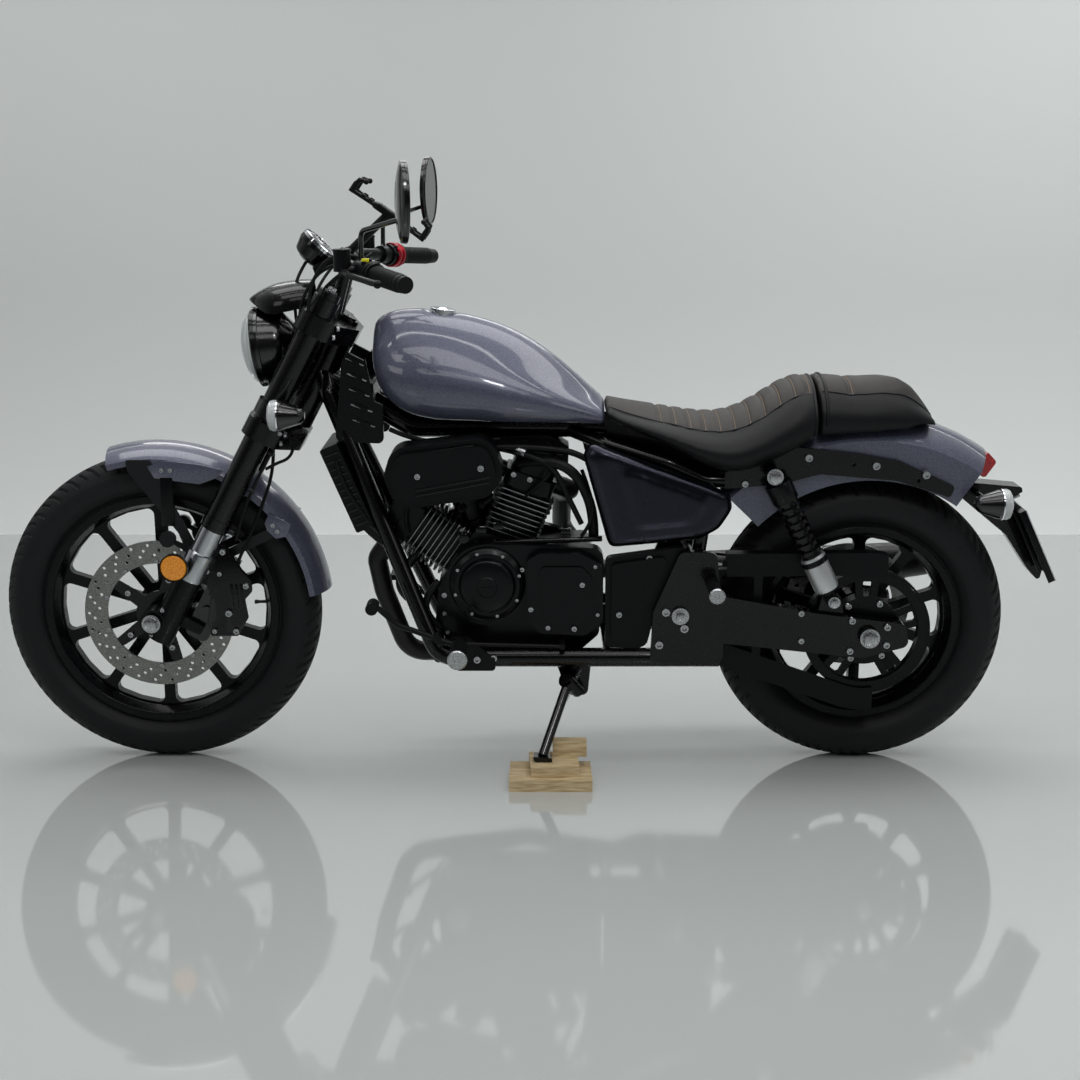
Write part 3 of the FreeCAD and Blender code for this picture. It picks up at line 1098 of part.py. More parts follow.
def rear_axle():
    """Axle with nuts outside the arms and spacers inside them."""
    out = ARM_IN + ARM_T
    pin = cross_rod(REAR_X, REAR_Z, -out - 14, out + 14, AXLE_R)
    nuts = [cross_rod(REAR_X, REAR_Z, y, y + 12, AXLE_R + 8) for y in (-out - 12 - FIT, out + FIT)]
    spacers = [cross_rod(REAR_X, REAR_Z, -ARM_IN + FIT, -REAR_HUB - FIT - 0.2, AXLE_R + 6),
               cross_rod(REAR_X, REAR_Z, REAR_HUB + FIT + 0.2, ARM_IN - FIT, AXLE_R + 6)]
    return join(pin, *nuts, *spacers)


def rear_caliper():
    """Caliper on a carrier that hangs from the right arm, over the rear disc."""
    cx, cz = REAR_X - 96, REAR_Z + 92
    body = plate([(cx - 44, cz - 30, 12), (cx - 30, cz + 36, 14), (cx + 44, cz + 44, 14),
                  (cx + 34, cz - 22, 12)],
                 REAR_DISC_Y - 20, ARM_IN - FIT)
    gap = cross_rod(REAR_X, REAR_Z, REAR_DISC_Y - DISC_T / 2 - 5.2, REAR_DISC_Y + DISC_T / 2 + 5.2,
                    REAR_DISC_R + 5.2)
    return body.cut(gap)


def belt_loop(grow, y0, y1):
    """Stadium round both pulleys, grown by a distance from their rims."""
    r1, r2 = FRONT_PULLEY_R + grow, REAR_PULLEY_R + grow
    dx, dz = REAR_X - FRONT_PULLEY_X, REAR_Z - FRONT_PULLEY_Z
    d = hypot(dx, dz)
    ux, uz = dx / d, dz / d
    c = (r1 - r2) / d
    s = sqrt(1 - c * c)
    pts = []
    for side in (1, -1):
        nx, nz = ux * c - side * uz * s, uz * c + side * ux * s
        pts.append(((FRONT_PULLEY_X + r1 * nx, FRONT_PULLEY_Z + r1 * nz),
                    (REAR_X + r2 * nx, REAR_Z + r2 * nz)))
    (a0, a1), (b0, b1) = pts
    rear_far = (REAR_X + ux * r2, REAR_Z + uz * r2)
    front_far = (FRONT_PULLEY_X - ux * r1, FRONT_PULLEY_Z - uz * r1)

    def at(p):
        return vec(p[0], y0, p[1])
    edges = [Part.LineSegment(at(a0), at(a1)), Part.Arc(at(a1), at(rear_far), at(b1)),
             Part.LineSegment(at(b1), at(b0)), Part.Arc(at(b0), at(front_far), at(a0))]
    return Part.Face(Part.Wire([e.toShape() for e in edges])).extrude(vec(0, y1 - y0, 0))


def drive_belt():
    y0, y1 = -BELT_Y - BELT_W / 2, -BELT_Y + BELT_W / 2
    return belt_loop(BELT_T + 0.5, y0, y1).cut(belt_loop(0.5, y0 - 1, y1 + 1))


def front_pulley():
    """Small belt wheel on the gearbox shaft."""
    y0, y1 = -BELT_Y - BELT_W / 2 - 2, -BELT_Y + BELT_W / 2 + 2
    rim = cross_rod(FRONT_PULLEY_X, FRONT_PULLEY_Z, y0, y1, FRONT_PULLEY_R)
    return rim


def belt_guards():
    """Upper and lower guards: broad channels that follow the belt's runs inside the left arm."""
    y0, y1 = -ARM_IN + FIT, -BELT_Y + BELT_W / 2 + 4
    trough = belt_loop(BELT_T + 36, y0, y1).cut(belt_loop(BELT_T + 6, y0 - 1, y1 + 1))
    web = belt_loop(BELT_T + 10, y0, y0 + 2).cut(belt_loop(-8.0, y0 - 1, y1 + 1))
    upper_span = box(PIVOT_X + 100, REAR_X + 40, y0 - 1, y1 + 1, REAR_Z + 95, REAR_Z + 300)
    lower_span = box(PIVOT_X + 45, REAR_X + 20, y0 - 1, y1 + 1, REAR_Z - 200, REAR_Z - 20)
    x = REAR_X - 240
    upper_leg = box(x, x + 18, y0, y0 + 2, PIVOT_Z, PIVOT_Z + 84)
    lower_leg = box(x, x + 18, y0, y0 + 2, PIVOT_Z - 120, PIVOT_Z - 50)
    return group(*[join(trough.common(span), web.common(span), leg)
                   for span, leg in ((upper_span, upper_leg), (lower_span, lower_leg))])


def belt_case():
    """Cover over the front pulley, stepped in the middle."""
    outline = [(200, 484, 12), (372, 508, 10), (364, 474, 20), (306, 372, 24), (288, 296, 18),
               (270, 287, 14),
               (200, 290, 14)]
    low = plate(outline, -PLATE_IN + 8, -ARM_IN)
    high = plate([(212, 472, 10), (334, 490, 12), (282, 372, 24), (268, 306, 14), (212, 306, 12)],
                 -PLATE_IN - 2, -PLATE_IN + 9)
    shaft = cross_rod(FRONT_PULLEY_X, FRONT_PULLEY_Z, -ARM_IN - 1, -BELT_Y - BELT_W / 2 - 2 - FIT, 20.0)
    return join(low, high, shaft)


def puffed(outline, steps):
    """Bulging cover: its outline at each depth, drawn in to the share given with the depth."""
    mid_x = sum(x for x, z, r in outline) / len(outline)
    mid_z = sum(z for x, z, r in outline) / len(outline)
    wires = []
    for y, share in steps:
        corners = [(vec(mid_x + (x - mid_x) * share, y, mid_z + (z - mid_z) * share), r * share) for x, z,
                   r in outline]
        wires.append(Part.Wire(rounded_edges(corners, True)))
    return loft(wires)


def side_covers():
    """Smooth bulging covers under the seat on both sides."""
    outline = [(150, 700, 14), (166, 726, 14), (391, 645, 20), (458, 618, 12), (462, 584, 16),
               (436, 543, 18),
               (395, 520, 20), (206, 502, 16)]
    return both(puffed(outline, [(-118, 1.0), (-128, 0.995), (-140, 0.94), (-149, 0.80), (-154, 0.50)]))


def rear_fender():
    """Deep fender: one revolved sheet, cut off square behind and swept up ahead of the shocks."""
    edges = fender_edges(REAR_FENDER_R, REAR_FENDER_HALF, 46.0, 84.0)
    return ring_about(REAR_X, REAR_Z, edges, TAIL_ANGLE, FENDER_FRONT_ANGLE - TAIL_ANGLE)


def tail_light():
    """Red lamp on the end of the rear fender."""
    r = REAR_FENDER_R
    a = radians(TAIL_ANGLE)
    end = (REAR_X + (r - 4) * cos(a), REAR_Z + (r - 4) * sin(a))
    down = (sin(a), -cos(a))
    out = (cos(a), sin(a))

    def at(along, lift):
        return (end[0] + down[0] * (along + FIT) + out[0] * lift,
                end[1] + down[1] * (along + FIT) + out[1] * lift)
    rows = [(*at(0, 2), 2), (*at(28, -4), 8), (*at(28, -48), 8), (*at(0, -44), 2)]
    return plate(rows, -48, 48)


PLATE_TOP = (REAR_X + 324.5, REAR_Z + 261.0)
PLATE_LOW = (REAR_X + 398.5, REAR_Z + 107.0)
HOOD_HALF = 28.0
SCREW_Y, SCREW_DOWN, SCREW_R = 62.0, 24.0, 3.2          # plate screws


def plate_line(along, off):
    """Point on the number plate's side view: so far down from its top, and so far behind its back face."""
    dx, dz = PLATE_LOW[0] - PLATE_TOP[0], PLATE_LOW[1] - PLATE_TOP[1]
    n = hypot(dx, dz)
    return (PLATE_TOP[0] + dx / n * along - dz / n * off, PLATE_TOP[1] + dz / n * along + dx / n * off)


TAG_H, TAG_T, TAG_W = 171.0, 2.0, 200.0


def plate_bracket():
    """Arm under the tail that carries the number plate, with a hooded lamp above the plate."""
    root_x, root_z = REAR_X + 184, REAR_Z + 309
    arm = plate([(root_x - 8, root_z - 12, 4), (root_x + 12, root_z + 4, 4), (*plate_line(16, -FIT), 4),
                 (*plate_line(TAG_H - 6, -FIT), 4), (*plate_line(TAG_H + 18, -18), 6),
                 (*plate_line(TAG_H - 20, -30), 6), (*plate_line(60, -44), 20)], -16, 16)
    hood = plate([(root_x + 34, root_z - 38, 2), (root_x + 38, root_z - 4, 8), (*plate_line(-26, 24), 6),
                  (*plate_line(-16, 22), 3), (*plate_line(-10, -16), 6), (*plate_line(30, -16),
                                                                          2)], -HOOD_HALF, HOOD_HALF)
    tie = cross_rod(root_x, root_z, WALL + FIT - REAR_FENDER_HALF, REAR_FENDER_HALF - WALL - FIT, 12.0)
    space = plate([(*plate_line(-2, -FIT), 0), (*plate_line(TAG_H + 2, -FIT), 0),
                   (*plate_line(TAG_H + 2, 30), 0), (*plate_line(-2, 30), 0)], -60, 60)
    return join(arm, hood, tie).cut(space)


def plate_point(y, off):
    """Point on a plate screw's centre line, so far off the plate's front face."""
    x, z = plate_line(TAG_H - SCREW_DOWN, off)
    return x, y, z


def number_plate():
    """Blank plate, thin and slightly leaned."""
    rows = [(*plate_line(0, 0), 0), (*plate_line(TAG_H, 0), 0), (*plate_line(TAG_H, TAG_T), 0),
            (*plate_line(0, TAG_T), 0)]
    screws = [rod(plate_point(s * SCREW_Y, -5), plate_point(s * SCREW_Y, TAG_T + 5), SCREW_R) for s in (-1,
                                                                                                        1)]
    return plate(rows, -TAG_W / 2, TAG_W / 2).cut(screws)


REAR_IND_Y = 152.0


def rear_indicators():
    """Lamps on stalks from the sides of the plate lamp's hood."""
    lamp = indicator(REAR_X + 234, -REAR_IND_Y, REAR_Z + 285, 1, -HOOD_HALF - FIT)
    return both(lamp)


PIPE_R, MUFFLER_R, MUFFLER_Y = 21.0, 43.0, 214.0


def muffler(x0, z0, x1, z1):
    """Tapered can with an open outlet, from its inlet to its tip."""
    length = hypot(x1 - x0, z1 - z0)
    return turned((x0, MUFFLER_Y, z0), (x1, MUFFLER_Y + 6, z1),
                  [(0, 0, 0), (0, PIPE_R + 3, 0), (60, MUFFLER_R, 60), (length - 80, MUFFLER_R, 20),
                   (length, 34, 10), (length, 27, 0), (length - 40, 27, 0), (length - 40, 0, 0)])


def exhaust():
    """Two headers that meet the staggered mufflers on the right side."""
    edge = FIN_W / 2 - 6
    front = tube([(*with_y(cylinder_top(FRONT_CYL_TILT, HEAD_MID + 3, -edge - FIT), 2), 0),
                  (*with_y(cylinder_top(FRONT_CYL_TILT, HEAD_MID + 3, -edge - 66), 2), 24),
                  (-276, 6, 372, 60), (-226, 20, 229, 60), (-110, 60, 218, 40), (40, MUFFLER_Y - 20, 226,
                                                                                 60),
                  (150, MUFFLER_Y, 250, 60), (250, MUFFLER_Y, 262, 0)], PIPE_R)
    rear = tube([(*with_y(cylinder_top(REAR_CYL_TILT, HEAD_MID, edge + FIT), 28), 0),
                 (*with_y(cylinder_top(REAR_CYL_TILT, HEAD_MID, edge + 40), 28), 22),
                 (112, 128, 566, 30), (112, MUFFLER_Y - 8, 470, 50), (190, MUFFLER_Y, 366, 60),
                 (330, MUFFLER_Y, 358, 0)], PIPE_R)
    cans = [muffler(240, 261, 870, 284), muffler(322, 358, 960, 386)]
    hanger = rod((470, MUFFLER_Y, 268), (470, MUFFLER_Y, 368), 6.0)
    stay = cross_rod(PIVOT_X + 20, 292, PLATE_IN + PLATE_T + FIT, MUFFLER_Y, 9.0)
    return join(front, rear, *cans, hanger, stay)


# ---- stand, pegs and controls -----------------------------------------------------------------------------
STAND_X, STAND_Y, STAND_Z = 123.0, -142.0, 213.0        # pivot of the side stand
STAND_R = 10.0
STAND_PIN_R = 7.0
KNUCKLE = 11.0                             # half the width of the knuckle
FOOT_WORLD_Y, FOOT_WORLD_Z = -250.0, 47.0               # middle of the stand's sole, after the lean
STAND_FOOT_X = 69.0
STOWED = (155.0, -50.0, 76.0)               # way the leg points when folded back beside the frame


def unlean(y, z):
    """Upright coordinates of a point given after the lean."""
    a = radians(LEAN)
    z = z - TYRE_LIFT
    return y * cos(a) + z * sin(a), -y * sin(a) + z * cos(a)


STAND_FOOT = (STAND_FOOT_X, *unlean(FOOT_WORLD_Y, FOOT_WORLD_Z + 10))
STAND_AXIS = vec(*STOWED).cross(vec(*STAND_FOOT) - vec(STAND_X, STAND_Y,
                                                       STAND_Z)).normalize()  # points inward


def stand_axis(distance):
    """Point on the stand's hinge line, so far in from the middle of its knuckle."""
    return (STAND_X + STAND_AXIS.x * distance, STAND_Y + STAND_AXIS.y * distance,
            STAND_Z + STAND_AXIS.z * distance)


PEG_X, PEG_Z, PEG_OUT = -104.0, 306.0, 280.0


def foot_controls():
    """Rider pegs on brackets under the rails, with the gear shifter on the left and the brake on the right."""
    side = RAIL_Y + RAIL_R + FIT
    bracket = plate([(-124, 320, 8), (-84, 318, 8), (-30, 268, 8), (-30, 246, 8), (-112, 246, 8)], -side - 8,
                    -side)
    peg = cross_rod(PEG_X, PEG_Z, -PEG_OUT, -side - 6, 13.0)
    pad = [cross_rod(PEG_X, PEG_Z, -PEG_OUT + 14 + 16 * i, -PEG_OUT + 24 + 16 * i, 16.0) for i in range(5)]
    rest = join(bracket, peg, *pad)
    shift = tube([(-110, -side - 22, 306, 0), (-176, -side - 22, 330, 30), (-232, -side - 26, 352, 40),
                  (-280, -side - 30, 398, 0)], 6.0)
    toe = cross_rod(-280, 398, -side - 72, -side - 24, 11.0)
    hub = cross_rod(-150, 322, -side - 32, -side - 8, 9.0)
    link = rod((-150, -side - 24, 312), (110, -side - 10, 300), 4.0)
    crank = cross_rod(110, 300, -side - 14, -CASE_HALF - FIT, 6.0)
    left = join(rest, shift, toe, hub, link, crank)
    pedal = tube([(-110, side + 22, 306, 0), (-176, side + 22, 300, 30), (-250, side + 26, 352, 0)], 7.0)
    pad_r = box(-278, -238, side + 10, side + 70, 350, 362, 5)
    right = join(mirrored(rest), pedal, pad_r)
    return group(left, right)


def passenger_pegs():
    """Folding pegs for the passenger, on stubs that stand out of the frame plates."""
    out = PLATE_IN + PLATE_T
    x, z = PIVOT_X + 66, 432.0
    stub = cross_rod(x, z, -out - 18, -out - FIT, 14.0)
    peg = cross_rod(x, z, -out - 92, -out - 12, 12.0)
    return both(join(stub, peg))


def stand_bracket():
    """Plate and pin under the left rail that carry the side stand."""
    cheek = plate([(STAND_X - 30, RAIL_Z - 8, 4), (STAND_X + 50, RAIL_Z - 8, 4),
                   (STAND_X + 42, STAND_Z - 40, 14),
                   (STAND_X, STAND_Z - 40, 14)], STAND_Y + 30, STAND_Y + 39)
    flange = box(STAND_X - 26, STAND_X + 46, STAND_Y + 3, STAND_Y + 34, RAIL_Z - 20, RAIL_Z - 8)
    boss = rod(stand_axis(KNUCKLE + FIT), stand_axis(KNUCKLE + 32), 15.0)
    pin = rod(stand_axis(KNUCKLE + 20), stand_axis(-KNUCKLE - 5), STAND_PIN_R)
    head = rod(stand_axis(-KNUCKLE - FIT), stand_axis(-KNUCKLE - 6), STAND_PIN_R + 6)
    return [cheek, flange, boss, pin, head]


def side_stand():
    """Round leg with a flat foot, turned up in front, hinged under the left rail on a sloping pin."""
    knuckle = rod(stand_axis(-KNUCKLE), stand_axis(KNUCKLE), 17.0)
    leg = rod((STAND_X, STAND_Y, STAND_Z), STAND_FOOT, STAND_R)
    x, z = STAND_FOOT_X, FOOT_WORLD_Z
    pad = plate([(x - 19, z + 4, 1), (x - 9, z, 8), (x + 19, z, 2), (x + 19, z + 9, 3), (x - 19, z + 12, 2)],
                FOOT_WORLD_Y - 20, FOOT_WORLD_Y + 20)
    pad.translate(vec(0, 0, -TYRE_LIFT))
    pad.rotate(vec(0, 0, 0), vec(1, 0, 0), -LEAN)
    return join(knuckle, leg, pad).cut(rod(stand_axis(-40), stand_axis(40), STAND_PIN_R + FIT))


BLOCK_ROWS = [                              # (x, y) of two corners, heights and turn, from the floor up
    ((0.0, -324.0), (170.0, -172.0), (0.0, 24.0), 0.0),
    ((42.0, -304.0), (143.0, -178.0), (24.0, 46.6), 2.0),
    ((90.0, -222.0), (161.0, -184.0), (46.6, 79.0), 0.0),
]


def stand_blocks():
    """Three wood blocks drawn where the leaned bike needs them: the stand's foot is on the second."""
    blocks = []
    for (x0, y0), (x1, y1), (low, high), turn in BLOCK_ROWS:
        block = box(x0, x1, y0, y1, low, high)
        block.rotate(vec((x0 + x1) / 2, (y0 + y1) / 2, 0), vec(0, 0, 1), turn)
        blocks.append(block)
    return join(*blocks)


# ---- output -----------------------------------------------------------------------------------------------
def leaned(shape):
    shape = shape.copy()
    shape.rotate(vec(0, 0, 0), vec(1, 0, 0), LEAN)
    shape.translate(vec(-ORIGIN_X, -ORIGIN_Y, TYRE_LIFT))
    return shape


def main():
    os.makedirs("parts", exist_ok=True)
    pieces = {
        "main_frame": main_frame(), "fender_struts": fender_struts(),
        "crankcase": crankcase(), "engine_covers": engine_covers(), "front_cylinder": front_cylinder(),
        "rear_cylinder": rear_cylinder(), "air_cleaner": air_cleaner(), "radiator": radiator(),
        "neck_cowl": neck_cowl(), "fuel_tank": fuel_tank(), "fuel_cap": fuel_cap(),
        "rider_seat": rider_seat(),
        "pillion_seat": pillion_seat(), "side_covers": side_covers(), "belt_case": belt_case(),
        "swingarm": swingarm(), "pivot_pin": pivot_pin(), "shocks": shocks(),
        "shock_springs": shock_springs(),
        "rear_fender": rear_fender(), "tail_light": tail_light(), "rear_indicators": rear_indicators(),
        "plate_bracket": plate_bracket(), "number_plate": number_plate(), "exhaust": exhaust(),
        "drive_belt": drive_belt(), "front_pulley": front_pulley(), "belt_guards": belt_guards(),
        "foot_controls": foot_controls(), "passenger_pegs": passenger_pegs(), "rear_axle": rear_axle(),
        "rear_caliper": rear_caliper(),
        "triple_clamps": triple_clamps(), "fork_outers": fork_outers(), "fork_inners": fork_inners(),
        "fork_feet": fork_feet(), "front_axle": front_axle(), "handlebar": handlebar(), "grips": grips(),
        "hand_controls": hand_controls(), "mirrors": mirrors(), "gauge": gauge(),
        "headlight_shell": headlight_shell(), "headlight_lens": headlight_lens(),
        "headlight_visor": headlight_visor(), "front_fender": front_fender(), "fender_stays": fender_stays(),
        "front_indicators": front_indicators(), "front_caliper": front_caliper(),
        "phone_cradle": phone_cradle(),
        "front_tyre": tyre(FRONT_X, FRONT_Z, FRONT_TYRE_D, FRONT_TYRE_W, FRONT_RIM_D, FRONT_RIM_W),
        "front_wheel": cast_wheel(FRONT_X, FRONT_Z, FRONT_RIM_D, FRONT_RIM_W, FRONT_HUB),
        "front_disc": front_disc(),
        "rear_tyre": tyre(REAR_X, REAR_Z, REAR_TYRE_D, REAR_TYRE_W, REAR_RIM_D, REAR_RIM_W),
        "rear_wheel": cast_wheel(REAR_X, REAR_Z, REAR_RIM_D, REAR_RIM_W, REAR_HUB),
        "rear_disc": rear_disc(), "rear_pulley": rear_pulley(), "side_stand": side_stand(),
    }
    for name, shape in pieces.items():
        leaned(shape).exportStep("parts/" + name + ".step")
    blocks = stand_blocks()
    blocks.translate(vec(-ORIGIN_X, -ORIGIN_Y, 0))
    blocks.exportStep("parts/stand_blocks.step")


main()
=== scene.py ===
# %% [markdown]
# # A cruiser motorcycle, dressed
# The construction model gives every solid its place. This lesson loads it as a fixed frame, gives each
# solid its finish, and adds what construction leaves out: the tread, the sewn seats, bolts, hoses, glass
# and the small parts.

# %% Load the frame
import json
from math import atan2, cos, exp, hypot, pi, radians, sin

import bmesh
import bpy
from mathutils import Matrix, Vector


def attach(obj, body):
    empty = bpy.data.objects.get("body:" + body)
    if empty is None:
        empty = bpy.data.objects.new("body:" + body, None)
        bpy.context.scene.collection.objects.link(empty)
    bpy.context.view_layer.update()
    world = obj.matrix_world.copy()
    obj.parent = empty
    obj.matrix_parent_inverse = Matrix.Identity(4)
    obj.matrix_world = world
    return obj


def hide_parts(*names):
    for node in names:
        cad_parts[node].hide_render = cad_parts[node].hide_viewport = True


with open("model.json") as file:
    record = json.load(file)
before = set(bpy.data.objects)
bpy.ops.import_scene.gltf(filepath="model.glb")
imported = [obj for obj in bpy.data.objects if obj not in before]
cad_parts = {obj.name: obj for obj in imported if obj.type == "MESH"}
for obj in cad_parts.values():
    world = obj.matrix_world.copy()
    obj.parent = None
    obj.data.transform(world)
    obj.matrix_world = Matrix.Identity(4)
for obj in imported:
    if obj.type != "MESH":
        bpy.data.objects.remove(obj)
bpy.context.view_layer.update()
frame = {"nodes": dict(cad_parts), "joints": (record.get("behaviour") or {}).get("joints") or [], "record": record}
scene = bpy.context.scene
scene.view_settings.view_transform = "Standard"
joints = {joint["name"]: joint for joint in frame["joints"]}

# %% [markdown]
# The machine leans on its side stand, which makes every measure awkward. A matrix that undoes the lean
# lets each piece be made as if the machine stood upright, in millimetres, with X to the rear, Y to the
# right and Z up from the ground between the wheels. The two hubs and the rear axle's direction, which the
# joints give, fix that matrix.

# %% An upright workbench
MM = 0.001
FRONT_RADIUS, REAR_RADIUS = 340.0, 315.0
rear_hub, front_hub = (Vector(joints[name]["pos_m"]) for name in ("rear_wheel_spin", "front_wheel_spin"))
across = Vector(joints["rear_wheel_spin"]["axis"]).normalized()
along = Vector((1, 0, 0))
upward = along.cross(across)
ground = (rear_hub + front_hub) / 2 - upward * (FRONT_RADIUS + REAR_RADIUS) / 2 * MM
turned = Matrix((along, across, upward)).transposed().to_4x4()
BENCH = Matrix.Translation(ground) @ turned @ Matrix.Scale(MM, 4)
UNBENCH = BENCH.inverted()
HALF_BASE = (rear_hub - front_hub).dot(along) / 2 / MM
RAKE = radians(28)
BOTH = (-1, 1)
SIDES = ((-1, "left"), (1, "right"))
print("half of the wheelbase, mm", round(HALF_BASE, 1))


def fork(up, back=25.0, side=0.0):
    """Point so far up a fork leg from the front axle's level, behind the axle's line, and to the side."""
    return Vector((-HALF_BASE + up * sin(RAKE) + back * cos(RAKE), side,
                   FRONT_RADIUS + up * cos(RAKE) - back * sin(RAKE)))


# %% [markdown]
# Most small parts are a few primitive shapes. Each helper adds one shape to an open bmesh with an
# operator, and the last one moves the finished form from the bench to the machine and lets it ride on its
# body.

# %% Shapes for the bench
def pointing(start, end):
    """Matrix at start that turns +Z towards end."""
    way = Vector(end) - Vector(start)
    return Matrix.Translation(start) @ Vector((0, 0, 1)).rotation_difference(way).to_matrix().to_4x4()


def soften(form, verts, width, steps=2, least=radians(30)):
    """Bevels the sharp edges among some vertices."""
    edges = {edge for vert in verts for edge in vert.link_edges
             if edge.is_manifold and edge.calc_face_angle(0) > least}
    bmesh.ops.bevel(form, geom=list(edges), offset=width, segments=steps, profile=0.5, affect="EDGES",
                    material=-1)


def drum(form, start, end, radius, end_radius=None, sides=32, edge=0.0):
    """A cylinder or cone from start to end."""
    start, end = Vector(start), Vector(end)
    depth = (end - start).length
    place = pointing(start, end) @ Matrix.Translation((0, 0, depth / 2))
    made = bmesh.ops.create_cone(form, cap_ends=True, segments=sides, depth=depth, matrix=place,
                                 radius1=radius, radius2=radius if end_radius is None else end_radius)
    if edge:
        soften(form, made["verts"], edge)


def block(form, centre, size, edge=0.0, turn=0.0, steps=2):
    """A box with softened edges, turned about the cross axis."""
    place = Matrix.Translation(centre) @ Matrix.Rotation(turn, 4, "Y") @ Matrix.Diagonal((*size, 1))
    made = bmesh.ops.create_cube(form, size=1, matrix=place)
    if edge:
        soften(form, made["verts"], edge, steps)


def lathe(form, rows, start, end, steps=48):
    """Spins rows of (distance, radius) about the line from start towards end."""
    place = pointing(start, end)
    verts = [form.verts.new(place @ Vector((radius, 0, distance))) for distance, radius in rows]
    edges = [form.edges.new(pair) for pair in zip(verts, verts[1:])]
    bmesh.ops.spin(form, geom=verts + edges, cent=Vector(start), steps=steps, angle=2 * pi,
                   axis=(Vector(end) - Vector(start)).normalized(), use_merge=True, use_duplicate=False)
    bmesh.ops.remove_doubles(form, verts=[vert for vert in form.verts if vert.is_valid], dist=0.01)


def ball(form, centre, radius):
    """A small sphere."""
    bmesh.ops.create_uvsphere(form, u_segments=24, v_segments=14, radius=radius,
                              matrix=Matrix.Translation(centre))


def pulled_out(form, faces, way):
    """Extrudes some faces along a vector and returns the new vertices."""
    made = bmesh.ops.extrude_face_region(form, geom=faces)
    verts = [item for item in made["geom"] if isinstance(item, bmesh.types.BMVert)]
    bmesh.ops.translate(form, verts=verts, vec=way)
    return verts


def sheet_form(form, outline, y0, y1, edge=0.0):
    """A flat plate: an outline of (x, z) drawn at y0 and extruded to y1."""
    face = form.faces.new([form.verts.new((x, y0, z)) for x, z in outline])
    verts = pulled_out(form, [face], Vector((0, y1 - y0, 0)))
    if edge:
        soften(form, list(face.verts) + verts, edge)


def finished(form, name, body, finish, recalculate=True, sharp=38):
    """Moves a form from the bench to the machine as one named piece that rides on a body."""
    if recalculate:
        bmesh.ops.recalc_face_normals(form, faces=form.faces)
    bmesh.ops.transform(form, matrix=BENCH, verts=form.verts)
    return piece_of(form, name, body, finish, sharp)


def piece_of(form, name, body, finish, sharp=38):
    """Makes a named piece of a form whose measures are the machine's own, and lets it ride on a body."""
    mesh = bpy.data.meshes.new(name)
    form.to_mesh(mesh)
    form.free()
    mesh.shade_smooth()
    mesh.set_sharp_from_angle(angle=radians(sharp))
    piece = bpy.data.objects.new(name, mesh)
    scene.collection.objects.link(piece)
    for one in finish if isinstance(finish, (list, tuple)) else [finish]:
        mesh.materials.append(one)
    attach(piece, body)
    print(name, len(mesh.polygons), "faces")
    return piece


# %% [markdown]
# ## Finishes
# A finish is a Principled shader whose roughness, colour and bump vary a little, as real paint, cast
# metal and rubber do. The patterns read Object coordinates, in metres, so their scale is true: a noise
# scale of 400 gives spots of about 2.5 mm.

# %% A helper for finishes
def shade(code):
    """Linear colour of a colour code."""
    parts = [int(code[i:i + 2], 16) / 255 for i in (0, 2, 4)]
    return tuple(c / 12.92 if c <= 0.04045 else ((c + 0.055) / 1.055) ** 2.4 for c in parts)


def coating(name, code, metallic=0.0, roughness=0.5, **sockets):
    """A Principled material; further sockets are named with underscores."""
    material = bpy.data.materials.new(name)
    material.use_nodes = True
    shader = material.node_tree.nodes["Principled BSDF"]
    values = {"Base Color": (*shade(code), 1), "Metallic": metallic, "Roughness": roughness}
    values.update({key.replace("_", " "): value for key, value in sockets.items()})
    for key, value in values.items():
        shader.inputs[key].default_value = value
    material.diffuse_color = (*shade(code), 1)
    return material


def pattern(material, kind, scale, rough=None, tones=None, bump=0.0, depth=0.0004, stretch=(1, 1, 1),
            detail=3.0, span=(0.35, 0.65)):
    """Adds a texture, noise or cells, on Object coordinates that varies roughness, colour and bump."""
    nodes, links = material.node_tree.nodes, material.node_tree.links
    shader = nodes["Principled BSDF"]
    spot = nodes.new("ShaderNodeTexCoord")
    mapping = nodes.new("ShaderNodeMapping")
    mapping.inputs["Scale"].default_value = stretch
    links.new(spot.outputs["Object"], mapping.inputs["Vector"])
    texture = nodes.new("ShaderNodeTexNoise" if kind == "noise" else "ShaderNodeTexVoronoi")
    texture.inputs["Scale"].default_value = scale
    if kind == "noise":
        texture.inputs["Detail"].default_value = detail
        value = texture.outputs["Fac"]
    else:
        value = texture.outputs["Distance"]
    links.new(mapping.outputs["Vector"], texture.inputs["Vector"])
    if rough:
        spread = nodes.new("ShaderNodeMapRange")
        for key, number in zip(("From Min", "From Max", "To Min", "To Max"), (*span, *rough)):
            spread.inputs[key].default_value = number
        links.new(value, spread.inputs["Value"])
        links.new(spread.outputs["Result"], shader.inputs["Roughness"])
    if tones:
        ramp = nodes.new("ShaderNodeValToRGB")
        ends = ramp.color_ramp.elements
        ends[0].position, ends[1].position = span
        ends[0].color, ends[1].color = ((*shade(code), 1) for code in tones)
        source = texture.outputs["Color"] if kind == "cells" else value
        links.new(source, ramp.inputs["Fac"])
        links.new(ramp.outputs["Color"], shader.inputs["Base Color"])
    if bump:
        relief = nodes.new("ShaderNodeBump")
        relief.inputs["Strength"].default_value = bump
        relief.inputs["Distance"].default_value = depth
        links.new(value, relief.inputs["Height"])
        if shader.inputs["Normal"].is_linked:
            links.new(shader.inputs["Normal"].links[0].from_socket, relief.inputs["Normal"])
        links.new(relief.outputs["Normal"], shader.inputs["Normal"])
    return material


# %% [markdown]
# The tank and the fenders wear a grey-violet paint with metal flakes under clear lacquer. Small Voronoi
# cells, each with its own tone, stand for the flakes, and the coat sockets stand for the lacquer.

